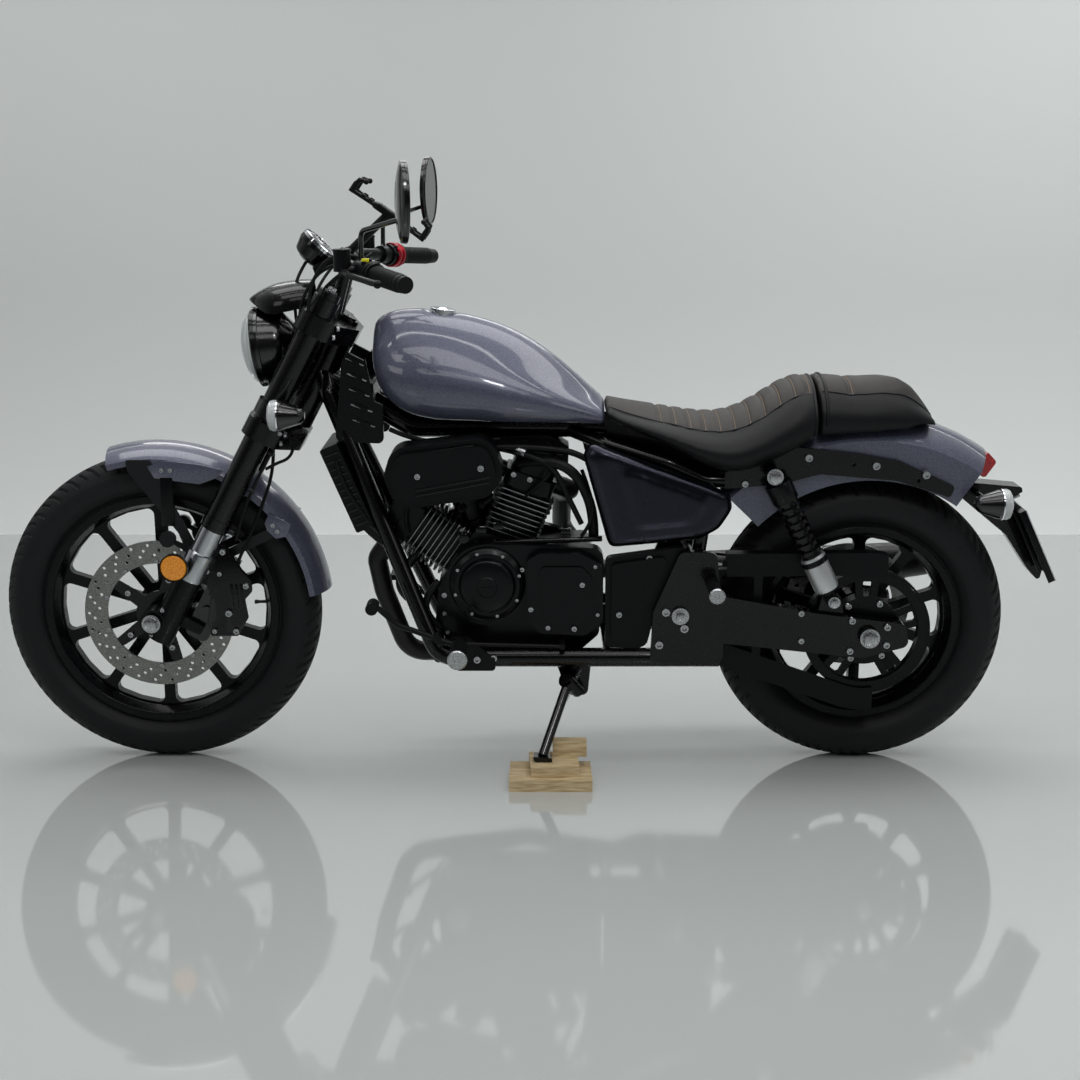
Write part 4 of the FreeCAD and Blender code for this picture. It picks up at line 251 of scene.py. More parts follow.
# %% Paints
flake_paint = pattern(coating("flake_paint", "454859", 0.3, 0.4, Coat_Weight=0.9, Coat_Roughness=0.07),
                      "cells", 900, tones=("363a4b", "626578"), bump=0.2, depth=0.0001, span=(0.1, 0.95))
gloss_black = pattern(coating("gloss_black", "030304", 0.0, 0.26, Coat_Weight=0.4, Coat_Roughness=0.04,
                              Specular_IOR_Level=0.18),
                      "noise", 320, rough=(0.2, 0.32))
satin_black = pattern(coating("satin_black", "040507", 0.0, 0.28, Coat_Weight=0.12, Coat_Roughness=0.1,
                              Specular_IOR_Level=0.16),
                      "noise", 160, rough=(0.26, 0.38))
engine_black = pattern(coating("engine_black", "040507", 0.0, 0.3, Coat_Weight=0.12, Coat_Roughness=0.12,
                               Specular_IOR_Level=0.16),
                       "noise", 300, rough=(0.28, 0.4), bump=0.06, depth=0.0002, tones=("030406", "06070a"))
cover_satin = pattern(coating("cover_satin", "040508", 0.0, 0.26, Coat_Weight=0.1, Coat_Roughness=0.2,
                              Specular_IOR_Level=0.45, Specular_Tint=(0.7, 0.72, 1.0, 1.0)),
                      "noise", 60, rough=(0.22, 0.28))
pipe_black = pattern(coating("pipe_black", "101012", 0.3, 0.38), "noise", 60, rough=(0.3, 0.5),
                     tones=("0c0c0e", "1c1a1a"), bump=0.1, depth=0.0002)
print("paints", len(bpy.data.materials))

# %% [markdown]
# Bare metals differ mainly in roughness. Turned and brushed parts get a noise that is stretched along one
# axis, which reads as fine machining marks.

# %% Metals
chrome = pattern(coating("chrome", "dfe1e4", 1.0, 0.07), "noise", 90, rough=(0.05, 0.11))
slider_chrome = pattern(coating("slider_chrome", "bcbfc2", 1.0, 0.2), "noise", 260, rough=(0.16, 0.26),
                        stretch=(1, 1, 6))
can_alloy = pattern(coating("can_alloy", "c8cacc", 0.9, 0.42), "noise", 300, rough=(0.34, 0.5), bump=0.15,
                    depth=0.0002)
steel = pattern(coating("brushed_steel", "a9abae", 1.0, 0.3), "noise", 260, rough=(0.22, 0.4), bump=0.12,
                depth=0.0001, stretch=(1, 8, 1))
disc_steel = pattern(coating("disc_steel", "8a8b88", 1.0, 0.38), "noise", 200, rough=(0.25, 0.42),
                     tones=("737571", "9a9b98"), bump=0.1, depth=0.0001, stretch=(1, 1, 4))
zinc = pattern(coating("zinc", "b6b8ba", 1.0, 0.24), "noise", 420, rough=(0.18, 0.34),
               tones=("a0a2a4", "c4c6c8"))
alloy = pattern(coating("alloy", "a9abad", 1.0, 0.36), "noise", 330, rough=(0.28, 0.44), bump=0.15,
                depth=0.0002)
dark_steel = pattern(coating("dark_steel", "2a2a2c", 0.8, 0.4), "noise", 300, rough=(0.3, 0.5), bump=0.1,
                     depth=0.0001)
red_anodised = pattern(coating("red_anodised", "9c1220", 0.8, 0.3), "noise", 400, rough=(0.24, 0.36))
print("paints and metals", len(bpy.data.materials))

# %% [markdown]
# Rubber and plastics are dark, and their bump carries the fine grain of the mould. The seat cover is a
# vinyl with a leather grain: Voronoi edges make the small creased cells.

# %% Rubber, plastics and covers
tyre_rubber = pattern(coating("tyre_rubber", "111214", 0.0, 0.56, Specular_IOR_Level=0.25), "noise", 240,
                      rough=(0.48, 0.66), bump=0.3, depth=0.0003, tones=("0e0f11", "191a1c"))
rubber = pattern(coating("rubber", "060708", 0.0, 0.5, Specular_IOR_Level=0.22), "noise", 500,
                 rough=(0.42, 0.6), bump=0.2, depth=0.0003)
grained_plastic = pattern(coating("grained_plastic", "040507", 0.0, 0.36, Specular_IOR_Level=0.2),
                          "cells", 700, rough=(0.28, 0.42), bump=0.15, depth=0.0002, span=(0.0, 0.6))
piano_plastic = pattern(coating("piano_plastic", "050506", 0.0, 0.2, Coat_Weight=0.5, Coat_Roughness=0.05),
                        "noise", 200, rough=(0.14, 0.26))
seat_top = pattern(coating("seat_top", "2a241f", 0.0, 0.5, Specular_IOR_Level=0.3), "cells", 520,
                   rough=(0.42, 0.6), bump=0.45, depth=0.0004, span=(0.0, 0.7), tones=("28211d", "1b1714"))
seat_side = pattern(coating("seat_side", "07080b", 0.0, 0.46, Specular_IOR_Level=0.25), "cells", 520,
                    rough=(0.38, 0.54), bump=0.35, depth=0.0004, span=(0.0, 0.7))
tan_thread = pattern(coating("tan_thread", "8c7965", 0.0, 0.8), "noise", 1500, rough=(0.7, 0.9), bump=0.4,
                     depth=0.0002)
print("with rubber and covers", len(bpy.data.materials))

# %% [markdown]
# Lamps have clear, amber and red covers, and the mirrors are silvered. The stand rests on offcuts of
# softwood, whose grain is a noise pulled long along the board.

# %% Glass, lenses and wood
clear_lens = pattern(coating("clear_lens", "eef2f5", 0.0, 0.04, Transmission_Weight=1.0, IOR=1.45),
                     "noise", 60, rough=(0.02, 0.07))
pale_lens = pattern(coating("pale_lens", "d5d9da", 0.0, 0.14, Transmission_Weight=0.3, Coat_Weight=0.6),
                    "cells", 500, rough=(0.1, 0.22), bump=0.3, depth=0.0003, span=(0.0, 0.7),
                    stretch=(1, 0.3, 1))
yellow_plastic = pattern(coating("yellow_plastic", "d8cf18", 0.0, 0.35), "noise", 300, rough=(0.3, 0.42))
# The amber reflectors also glow faintly: their emission is a painted glow, for they are no lamps.
amber_lens_with_painted_glow = pattern(coating("amber_lens_with_painted_glow", "f09a10", 0.0, 0.15, Coat_Weight=0.6, Emission_Strength=0.12,
                             Emission_Color=(1.0, 0.4, 0.02, 1.0)),
                     "cells", 420, rough=(0.1, 0.25), bump=0.5, depth=0.0004, span=(0.0, 0.7),
                     tones=("e69a22", "bd6a08"))
red_lens = pattern(coating("red_lens", "b01018", 0.0, 0.15, Coat_Weight=0.7, Coat_Roughness=0.05),
                   "cells", 380, rough=(0.1, 0.22), bump=0.4, depth=0.0004, span=(0.0, 0.7),
                   tones=("c8161e", "8d0a12"))
silvered = pattern(coating("silvered", "e4e7ea", 1.0, 0.02), "noise", 40, rough=(0.01, 0.04))
plate_white = pattern(coating("plate_white", "d6d7d8", 0.0, 0.4), "noise", 200, rough=(0.34, 0.48),
                      tones=("cfd0d1", "dcddde"))
softwood = pattern(coating("softwood", "c4ad84", 0.0, 0.75), "noise", 22, rough=(0.65, 0.85), bump=0.5,
                   depth=0.001, tones=("a38a62", "d8c59e"), stretch=(1, 7, 12), detail=8.0, span=(0.3, 0.7))
dial_face = pattern(coating("dial_face", "0c0d10", 0.0, 0.3), "noise", 300, rough=(0.24, 0.36))
dial_marks = pattern(coating("dial_marks", "dfe4e8", 0.0, 0.4, Emission_Strength=0.3), "noise", 300,
                     rough=(0.3, 0.5))
print("finishes", len(bpy.data.materials))

# %% [markdown]
# Each solid of the frame takes one of these finishes. Most take the finish of their material slot, and a
# short list names the ones whose surface differs from it.

# %% Finish the solids of the frame
SLOT_FINISH = {"frame_black": gloss_black, "paint_grey": flake_paint, "engine_black": engine_black,
               "chrome": chrome, "steel": steel, "alloy": alloy, "black_plastic": grained_plastic,
               "gloss_plastic": piano_plastic, "rubber": rubber, "tyre": tyre_rubber, "wood": softwood,
               "seat_cover": seat_side, "clear_lens": clear_lens, "red_lens": red_lens,
               "plate_white": plate_white}
NODE_FINISH = {"exhaust": pipe_black, "front_disc": disc_steel, "rear_disc": disc_steel,
               "front_wheel": satin_black, "rear_wheel": satin_black, "rear_pulley": satin_black,
               "neck_cowl": satin_black,
               "shock_springs": gloss_black, "gauge": gloss_black, "mirrors": piano_plastic,
               "fork_outers": gloss_black, "fork_feet": satin_black, "front_axle": zinc, "rear_axle": zinc,
               "pivot_pin": zinc, "fuel_cap": chrome, "handlebar": satin_black, "fork_inners": slider_chrome,
               "shocks": satin_black, "side_covers": cover_satin, "fender_stays": dark_steel}
slot_of = {part["node"]: part["material_slot"] for part in frame["record"]["subparts"]}
for node, solid in frame["nodes"].items():
    finish = NODE_FINISH.get(node, SLOT_FINISH[slot_of[node]])
    for place in solid.material_slots:
        place.material = finish
print("finished", len(slot_of), "solids")

# %% [markdown]
# ## Tyres
# The solid tyre is smooth. A treaded one is spun from the same three arcs, finely enough for the grooves,
# and then every vertex inside a groove is moved towards the hub. The pattern is a centre groove with
# slanted grooves that reach the shoulders, and the two sides are half a pitch apart.

# %% Profile of a tyre
def arc(first, middle, last, count):
    """Points on the circle through three points, the first left out."""
    (ax, ay), (bx, by), (cx, cy) = first, middle, last
    double = 2 * (ax * (by - cy) + bx * (cy - ay) + cx * (ay - by))
    squares = ax * ax + ay * ay, bx * bx + by * by, cx * cx + cy * cy
    ux = (squares[0] * (by - cy) + squares[1] * (cy - ay) + squares[2] * (ay - by)) / double
    uy = (squares[0] * (cx - bx) + squares[1] * (ax - cx) + squares[2] * (bx - ax)) / double
    start, stop = atan2(ay - uy, ax - ux), atan2(cy - uy, cx - ux)
    sweep = (stop - start + pi) % (2 * pi) - pi
    radius = hypot(ax - ux, ay - uy)
    return [(ux + radius * cos(start + sweep * k / count), uy + radius * sin(start + sweep * k / count))
            for k in range(1, count + 1)]


def tyre_rows(radius, half, bead_radius, bead_half):
    """Outer profile from bead to bead as (radius, side)."""
    side_radius = bead_radius + 0.5 * (radius - bead_radius)
    shoulder, shoulder_half = radius - 0.30 * (radius - bead_radius), 0.90 * half
    rows = [(bead_radius, bead_half), (bead_radius + 14, bead_half)]
    rows += arc(rows[-1], (side_radius, half), (shoulder, shoulder_half), 16)
    rows += arc(rows[-1], (radius, 0), (shoulder, -shoulder_half), 52)
    rows += arc(rows[-1], (side_radius, -half), (bead_radius + 14, -bead_half), 16)
    return rows + [(bead_radius, -bead_half)]


# %% [markdown]
# The grooves could be cut with dozens of cutters and a Boolean, which is slow and leaves ragged edges.
# The spun skin is fine enough that its own vertices can make them: cut_of says, for a place on the tread,
# whether a groove runs there. One pitch of the pattern repeats round the wheel, and the offset staggers
# the two sides.

# %% Cut the tread
TREAD_DEPTH = 5.0
TREAD_END, CENTRE_GROOVE = 0.97, 0.05
SLANT = 0.75


def cut_of(turn, reach, pitches):
    """Whether the tread is cut at a turn about the hub and a reach from -1 to 1 across the tread."""
    if abs(reach) > TREAD_END:
        return 0.0
    if abs(reach) < CENTRE_GROOVE:
        return 1.0
    offset = 0.5 if reach > 0 else 0.0
    lane = (turn / (2 * pi) * pitches + offset + SLANT * abs(reach)) % 1
    long_cut = lane < 0.16 and 0.16 < abs(reach)
    short_cut = 0.5 < lane < 0.63 and 0.42 < abs(reach) < 0.86
    return 1.0 if long_cut or short_cut else 0.0


def treaded_tyre(node, body, hub_x, radius, half, bead_radius, bead_half, pitches):
    """Spins a tyre's skin, presses the grooves in and raises two fine rings on each wall."""
    form = bmesh.new()
    rows = tyre_rows(radius, half, bead_radius, bead_half)
    hub = Vector((hub_x, 0, radius))
    verts = [form.verts.new(hub + Vector((0, side, -distance))) for distance, side in rows]
    edges = [form.edges.new(pair) for pair in zip(verts, verts[1:] + verts[:1])]
    bmesh.ops.spin(form, geom=verts + edges, cent=hub, axis=(0, 1, 0), angle=2 * pi, steps=pitches * 18,
                   use_merge=True, use_duplicate=False)
    shoulder, tread_half = radius - 0.30 * (radius - bead_radius), 0.90 * half
    ring_1, ring_2 = bead_radius + 26, shoulder - 12
    for vert in form.verts:
        arm = vert.co - hub
        distance, turn = hypot(arm.x, arm.z), atan2(arm.z, arm.x)
        push = 0.0
        if distance > shoulder - 1:
            push = -TREAD_DEPTH * cut_of(turn, arm.y / tread_half, pitches)
        vert.co.x += arm.x / distance * push
        vert.co.z += arm.z / distance * push
        if distance < shoulder - 1 and min(abs(distance - ring_1), abs(distance - ring_2)) < 2.2:
            vert.co.y -= 0.8 if arm.y > 0 else -0.8
    piece = finished(form, "treaded_" + node, body, tyre_rubber, sharp=30)
    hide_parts(node)
    return piece


RIM_GAP = 0.3
treaded_tyre("front_tyre", "front_wheel_body", -HALF_BASE, FRONT_RADIUS, 55.0,
             241.5 + RIM_GAP, 33.0 - RIM_GAP, 40)
treaded_tyre("rear_tyre", "rear_wheel_body", HALF_BASE, REAR_RADIUS, 70.0,
             203.0 + RIM_GAP, 45.0 - RIM_GAP, 36)

# %% [markdown]
# ## Seats
# Each seat is foam under a sewn cover. The solid's mesh is copied, remeshed in even voxels and relaxed,
# which rounds its edges as foam does. Then the cover's channels are pressed in across the top, and the
# thread and the piping follow points found by casting rays down onto the finished surface.

# %% A cushion from a solid
def cushion(node, name, voxel=0.005, relax=14):
    """A remeshed and relaxed copy of a soft solid, as a new object."""
    form = bmesh.new()
    form.from_mesh(frame["nodes"][node].data)
    bmesh.ops.remove_doubles(form, verts=form.verts, dist=0.00005)
    mesh = bpy.data.meshes.new(name)
    form.to_mesh(mesh)
    form.free()
    piece = bpy.data.objects.new(name, mesh)
    scene.collection.objects.link(piece)
    remesh = piece.modifiers.new("even", "REMESH")
    remesh.mode, remesh.voxel_size = "VOXEL", voxel
    ease = piece.modifiers.new("ease", "SMOOTH")
    ease.iterations, ease.factor = relax, 0.5
    result = bpy.data.meshes.new_from_object(piece.evaluated_get(bpy.context.evaluated_depsgraph_get()))
    piece.modifiers.clear()
    piece.data = result
    return piece


def eased(x, rows):
    """Value at x in rows of (x, value), on straight lines between them."""
    for (x0, v0), (x1, v1) in zip(rows, rows[1:]):
        if x <= x1:
            t = min(max((x - x0) / (x1 - x0), 0), 1)
            return v0 + (v1 - v0) * t
    return rows[-1][1]


PUFF, PUFF_REACH = 1.2, 15


def press_channels(piece, stations, panel, depth=3.2, width=4.0):
    """Presses channels across the top of a cushion at some x stations, inside its top panel."""
    normals = [vert.normal.copy() for vert in piece.data.vertices]
    for vert, normal in zip(piece.data.vertices, normals):
        spot = UNBENCH @ vert.co
        top = normal.dot(upward)
        half = eased(spot.x, panel)
        if top < 0.1 or abs(spot.y) > half + 6:
            continue
        edge = min(1, max(0, (half + 6 - abs(spot.y)) / 12))
        near = min(abs(spot.x - station) for station in stations)
        push = PUFF * sin(min(near / PUFF_REACH, 1) * pi / 2) - depth * exp(-(near / width) ** 2)
        vert.co += normal * push * edge * MM


def dropped(piece, x, y, lift=0.0):
    """Point of the bench on a cushion's surface, found by a ray straight down."""
    start = BENCH @ Vector((x, y, 1000))
    hit, place, _, _ = piece.ray_cast(start, -upward)
    return (UNBENCH @ place) + Vector((0, 0, lift)) if hit else None


# %% [markdown]
# A seat's top panel is sewn to its sides with piping, and a row of tan stitches runs beside each channel.
# A cloth simulation could puff the cover up, but the channels of a moulded seat are known lines, so they
# are pressed in directly. Stitches are short five-sided rods, and the piping is a NURBS curve with a
# round bevel.

# %% Threads, piping and cords
STITCH, STITCH_PITCH = 3.6, 6


def thread_rows(piece, name, stations, panel):
    """Rows of stitches, one beside each channel."""
    form = bmesh.new()
    for station in stations:
        half = eased(station, panel) - 3
        count = int(2 * half / STITCH_PITCH)
        for k in range(count):
            y0 = -half + 2 * half * k / count
            ends = [dropped(piece, station + 3.4, y, 0.4) for y in (y0, y0 + STITCH)]
            if all(ends):
                drum(form, *ends, 0.9, sides=5)
    return finished(form, name, "chassis", tan_thread)


def tube_along(name, points, radius, body, finish):
    """A smooth tube through the neighbourhood of some bench points, as a NURBS curve."""
    curve = bpy.data.curves.new(name, "CURVE")
    curve.dimensions, curve.bevel_depth, curve.bevel_resolution = "3D", radius * MM, 3
    curve.use_fill_caps = True
    spline = curve.splines.new("NURBS")
    spline.points.add(len(points) - 1)
    for point, spot in zip(spline.points, points):
        point.co = (*(BENCH @ Vector(spot)), 1)
    spline.order_u, spline.use_endpoint_u, spline.resolution_u = 3, True, 8
    curve.materials.append(finish)
    piece = bpy.data.objects.new(name, curve)
    scene.collection.objects.link(piece)
    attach(piece, body)
    steps = [(Vector(b) - Vector(a)).length for a, b in zip(points, points[1:])]
    print(name, "length mm", round(sum(steps)))
    return piece


# %% [markdown]
# Each seat's top is a brown panel and its sides are black, so the faces inside the panel's outline take
# the second finish. The pillion's crown swells a little more than its solid does, and only what lies
# above the crown's foot is raised.

# %% Sew the seats
CROWN_FADE = 45


def plump(piece, crown, rows):
    """Raises what lies above the crown's height by an amount that depends on x."""
    for vert in piece.data.vertices:
        spot = UNBENCH @ vert.co
        share = min(1, max(0, (spot.z - crown) / CROWN_FADE))
        vert.co += upward * MM * eased(spot.x, rows) * share


def dress_seat(node, name, stations, panel, crown=0, rise=None):
    """A padded seat with its channels, thread and piping, in place of its solid."""
    piece = cushion(node, name)
    if rise:
        plump(piece, crown, rise)
    press_channels(piece, stations, panel)
    piece.data.materials.clear()
    for finish in (seat_top, seat_side):
        piece.data.materials.append(finish)
    for face in piece.data.polygons:
        spot = UNBENCH @ face.center
        on_top = face.normal.dot(upward) > 0.1 and abs(spot.y) < eased(spot.x, panel)
        face.material_index = 0 if on_top else 1
    piece.data.shade_smooth()
    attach(piece, "chassis")
    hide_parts(node)
    thread_rows(piece, name + "_thread", stations, panel)
    first, last = panel[0][0], panel[-1][0]
    for side, word in SIDES:
        xs = [first + (last - first) * k / 24 for k in range(25)]
        spots = [dropped(piece, x, side * eased(x, panel), -0.4) for x in xs]
        tube_along(f"{name}_piping_{word}", [spot for spot in spots if spot], 2.0, "chassis", seat_side)
    print(name, len(piece.data.polygons), "faces")
    return piece


rider_panel = [(206, 58), (290, 94), (370, 110), (450, 112), (530, 110), (590, 102), (630, 88)]
pillion_panel = [(644, 86), (700, 88), (790, 78), (850, 60), (880, 38)]
pillion_rise = [(700, 0), (735, 3), (775, 11), (815, 15), (845, 11), (872, 2), (890, 0)]
PLEAT = 30.5
channels = [310 + PLEAT * k for k in range(11)]
rider_seat = dress_seat("rider_seat", "rider_cushion", channels, rider_panel)
pillion_seat = dress_seat("pillion_seat", "pillion_cushion", [704.0], pillion_panel, 765, pillion_rise)

# %% [markdown]
# Where the two seats meet, each has a welt sewn over it. The welt's points come from rays that fan out
# round the middle of the seat's section, so it lies on the cover wherever that goes.

# %% Bind the seam between the two seats
def binding_across(piece, name, x, middle, radius):
    """A cord sewn over the top of a cushion and down both sides, found by rays towards its middle."""
    spots = []
    for k in range(-16, 17):
        way = Vector((0, sin(pi * k / 30), cos(pi * k / 30)))
        end = BENCH @ Vector((x, 0, middle))
        start = BENCH @ (Vector((x, 0, middle)) + way * 300)
        hit, place, _, _ = piece.ray_cast(start, (end - start).normalized())
        if hit:
            spots.append(UNBENCH @ place)
    tube_along(name, spots, radius, "chassis", seat_side)


WELT = 3.4
binding_across(rider_seat, "rider_seam_cord", 628, 750, WELT)
binding_across(pillion_seat, "pillion_seam_cord", 652, 770, WELT)

# %% [markdown]
# The tank and the side covers are pressed sheet with swelling sides, so they get the same even mesh and
# are relaxed until no step of their solids shows in a reflection.

# %% Even out the tank and the side covers
def even_sheet(node, name, finish, voxel, relax):
    """An evenly meshed and relaxed skin in place of a pressed part's solid."""
    piece = cushion(node, name, voxel, relax)
    piece.data.materials.clear()
    piece.data.materials.append(finish)
    piece.data.shade_smooth()
    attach(piece, "chassis")
    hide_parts(node)
    print(name, len(piece.data.polygons), "faces")


even_sheet("fuel_tank", "even_tank", flake_paint, 0.005, 30)
even_sheet("side_covers", "even_side_covers", cover_satin, 0.0035, 24)

# %% [markdown]
# ## Screws and bolts
# A machine shows its construction by its fasteners. One helper makes a socket screw with an inset recess
# and another a hexagon head on a washer, and tables place them.

# %% Fasteners
def socket_screw(form, at, way, radius):
    """Button head with a recess, standing on a surface."""
    at, way = Vector(at), Vector(way).normalized()
    height = 0.9 * radius
    place = pointing(at, at + way) @ Matrix.Translation((0, 0, height / 2))
    made = bmesh.ops.create_cone(form, cap_ends=True, segments=18, radius1=radius, radius2=radius * 0.86,
                                 depth=height, matrix=place)
    faces = {face for vert in made["verts"] for face in vert.link_faces}
    top = max(faces, key=lambda face: face.calc_center_median().dot(way))
    bmesh.ops.inset_region(form, faces=[top], thickness=radius * 0.36)
    bmesh.ops.inset_region(form, faces=[top], thickness=radius * 0.04, depth=-height * 0.6)


def hex_bolt(form, at, way, radius):
    """Hexagon head, with its edge bevelled, on a flat washer."""
    at, way = Vector(at), Vector(way).normalized()
    base = at + way * radius * 0.18
    drum(form, at, base, radius * 1.3, sides=24)
    drum(form, base, base + way * radius * 0.75, radius, sides=6, edge=radius * 0.08)


def fasteners(name, body, rows, finish=None, kind="socket"):
    """One piece with all the screws of a table: (x, y, z, radius) and the way they face."""
    form = bmesh.new()
    for (x, y, z, radius), way in rows:
        (socket_screw if kind == "socket" else hex_bolt)(form, (x, y, z), way, radius)
    return finished(form, name, body, finish or zinc, sharp=30)


# %% [markdown]
# A small part that stands on a casting has to touch it, and a typed height would float or sink when the
# casting changes. So a ray is cast at the solid, as one would feel for a surface, and the part stands
# where the ray lands.

# %% A ray that seats small parts
def struck(node, start, way):
    """Bench point where a ray first meets a solid, or None."""
    begin, aim = BENCH @ Vector(start), (BENCH.to_3x3() @ Vector(way)).normalized()
    hit, place, _, _ = frame["nodes"][node].ray_cast(begin, aim)
    return UNBENCH @ place if hit else None


def outer_face(node, x, z, side=-1):
    """Outermost point at (x, z) on a solid, or on any of several."""
    names = [node] if isinstance(node, str) else node
    spots = [struck(name, (x, side * 700, z), (0, -side, 0)) for name in names]
    return max((spot for spot in spots if spot), key=lambda spot: side * spot.y, default=None)


def screws_on(name, body, node, rows, sides=(-1,), kind="socket", finish=None):
    """Screws on the side faces of a solid, at (x, z, radius)."""
    table = []
    for side in sides:
        for x, z, radius in rows:
            spot = outer_face(node, x, z, side)
            if spot is None:
                print("no face at", node, x, z, side)
            else:
                table.append(((spot.x, spot.y, spot.z, radius), (0, side, 0)))
    return fasteners(name, body, table, finish, kind) if table else None


def ring_rows(x, z, ring, count, radius, first=0.0):
    """Table rows for screws in a ring, the first one at an angle."""
    return [(x + ring * cos(first + 2 * pi * k / count), z + ring * sin(first + 2 * pi * k / count), radius)
            for k in range(count)]


# %% [markdown]
# The covers of the engine are held by screws round their edges. Their places follow the bosses of the
# castings, a ring for a round cover and a list for the others, and both sides are alike where the casting
# is.

# %% Screws of the engine and the air box
screws_on("air_box_screws", "chassis", "air_cleaner", [(-186, 662, 7), (-57, 679, 7.5)])
screws_on("gear_cover_screws", "chassis", "engine_covers",
          [(26, 454, 5.4), (44, 374, 6), (151, 429, 6.2), (80, 334, 5.6), (135, 332, 6.4), (178, 466, 4.4),
           (184, 362, 4.4)])
screws_on("crankcase_screws", "chassis", "crankcase",
          [(-71, 500, 5), (-2, 494, 6), (-140, 387, 6.2), (-140, 346, 5), (-134, 304, 5), (-5, 327, 5.4)],
          BOTH)
screws_on("cylinder_foot_screws", "chassis", ("rear_cylinder", "front_cylinder"),
          [(8, 644, 6.4), (42, 633, 6.4), (-100, 520, 8)], BOTH)
screws_on("clutch_cover_screws", "chassis", "engine_covers", ring_rows(60, 403, 91, 10, 4.2), (1,))
screws_on("generator_cover_screws", "chassis", "engine_covers", ring_rows(-47, 422, 70, 8, 3.8, 0.3), (-1,))

# %% [markdown]
# Larger screws hold the foot plates, the fender's struts and the swingarm's plates. They are the same
# piece in other sizes, so a table again says where they stand.

# %% Screws of the frame, the swingarm and the struts
screws_on("belt_case_screws", "chassis", "belt_case", [(290, 484, 7), (228, 365, 7)])
screws_on("plate_screws", "chassis", ("main_frame", "foot_controls"),
          [(325, 373, 9.6), (364, 338, 10), (312, 302, 9.6), (-68, 272, 8.4), (-34, 272, 8.4)], BOTH)
screws_on("strut_screws", "chassis", "fender_struts",
          [(618, 689, 9), (758, 672, 9), (862, 653, 9), (488, 634, 7.6)], BOTH)
screws_on("swingarm_screws", "chassis", "swingarm",
          [(609, 366, 7), (611, 306, 7), (716, 350, 8), (790, 336, 8), (714, 284, 8), (790, 297, 8)], BOTH)

# %% [markdown]
# ## Engine trim
# The air box has a raised double bead below its screws and one along its top edge, and the generator
# cover has a shallow disc with a slotted plug. Each is a small form that stands a few millimetres proud
# of its casting.

# %% Beads of the air box and the plug of the generator cover
def bead(form, node, start, end, width, rise, side=-1):
    """A rounded bar laid on the side face of a solid between two (x, z) points."""
    points = [outer_face(node, *spot, side) for spot in (start, end)]
    if not all(points):
        print("no face for a bead on", node)
        return
    middle = (points[0] + points[1]) / 2 + Vector((0, side * rise * 0.3, 0))
    run = points[1] - points[0]
    block(form, middle, (run.length, rise, width), edge=min(rise, width) * 0.3,
          turn=-atan2(run.z, run.x))


# The beads take a dark steel finish so that they show as light lines; this finish is a painted highlight for the
# light the black beads catch.
form = bmesh.new()
for drop in (0, -11):
    bead(form, "air_cleaner", (-190, 632 + drop), (-40, 660 + drop), 3.4, 5.0)
bead(form, "air_cleaner", (-196, 706), (-72, 724), 3.4, 4.0)
finished(form, "air_box_beads_with_painted_highlight", "chassis", dark_steel)
# Bright alloy strips along the ribs of the neck cowl are painted highlights: the ribs are glossy black, and the
# strips stand in for the light along their edges.
form = bmesh.new()
for k in range(5):
    drop = 32 * k
    bead(form, "neck_cowl", (-337 + 3 * k, 890.5 - drop), (-299 + 5 * k, 875 - drop), 2.0 + k % 2, 2.4)
finished(form, "cowl_rib_painted_highlights", "chassis", alloy)
form = bmesh.new()
plug = outer_face("engine_covers", -47, 422)
lathe(form, [(0, 0), (0, 50), (-1.2, 50), (-2.4, 47), (-2.6, 22), (-4.6, 20), (-4.6, 0)], plug,
      plug + Vector((0, 1, 0)))
block(form, plug + Vector((0, -4.4, 0)), (22, 3, 3.4), edge=0.6)
finished(form, "generator_plug", "chassis", engine_black)

# %% [markdown]
# Each cylinder head has a spark plug lead, and a few pipes and wires fill the space around the engine.
# Pipes that are held at both ends are smooth tubes through a few points.

# %% Leads, pipes and wires by the engine
def run(name, points, radius):
    """A rubber tube held by the frame."""
    return tube_along(name, points, radius, "chassis", rubber)


run("plug_lead_front", [(-214, -66, 520), (-226, -84, 560), (-190, -70, 640), (-150, -40, 690),
                        (-130, -26, 716)], 4.0)
run("plug_lead_rear", [(34, -66, 600), (70, -92, 634), (100, -84, 676), (86, -44, 708), (60, -26, 726)], 4.0)
run("breather_hose", [(20, -60, 668), (70, -96, 684), (132, -104, 664), (166, -92, 600), (176, -86, 546),
                      (176, -76, 516)], 11.0)
run("cooling_hose", [(-196, -40, 470), (-230, -76, 440), (-236, -86, 400), (-214, -60, 372)], 10.0)
run("loom_low", [(-120, -78, 700), (-30, -86, 708), (70, -84, 706), (160, -78, 690), (210, -70, 640)], 7.0)
run("loom_high", [(-250, -60, 740), (-200, -78, 720), (-110, -80, 714), (-20, -70, 722)], 5.0)
run("brake_line_rear", [(300, 176, 330), (390, 168, 420), (520, 164, 408), (640, 158, 392),
                        (690, 146, 380)], 3.2)

# %% [markdown]
# ## Front end
# The fork carries most of the machine's small parts. First come the two amber reflectors, each a lens in
# a dark cup on a short stem. A lens is a turned part, so a profile is spun about its own line.

# %% Side reflectors
form, cups = bmesh.new(), bmesh.new()
for side in BOTH:
    centre, outward = fork(140, -8, side * 152), Vector((0, side, 0))
    lathe(form, [(0, 0), (0, 24), (4, 27), (10, 27), (13, 25), (14.5, 0)], centre, centre + outward)
    lathe(cups, [(-6, 0), (-6, 26), (3, 29.5), (12, 29.5), (12, 27.5)], centre, centre + outward)
    drum(cups, centre - outward * 4, centre - outward * 34 + Vector((10, 0, 0)), 6)
finished(form, "side_reflectors", "fork", amber_lens_with_painted_glow)
finished(cups, "reflector_cups", "fork", satin_black)

# %% [markdown]
# The two clamps pinch the legs with screws that face the rider, and the top one has a large nut on the
# stem and a cap on each leg. The pinch screws stand where a ray from behind meets the clamp.

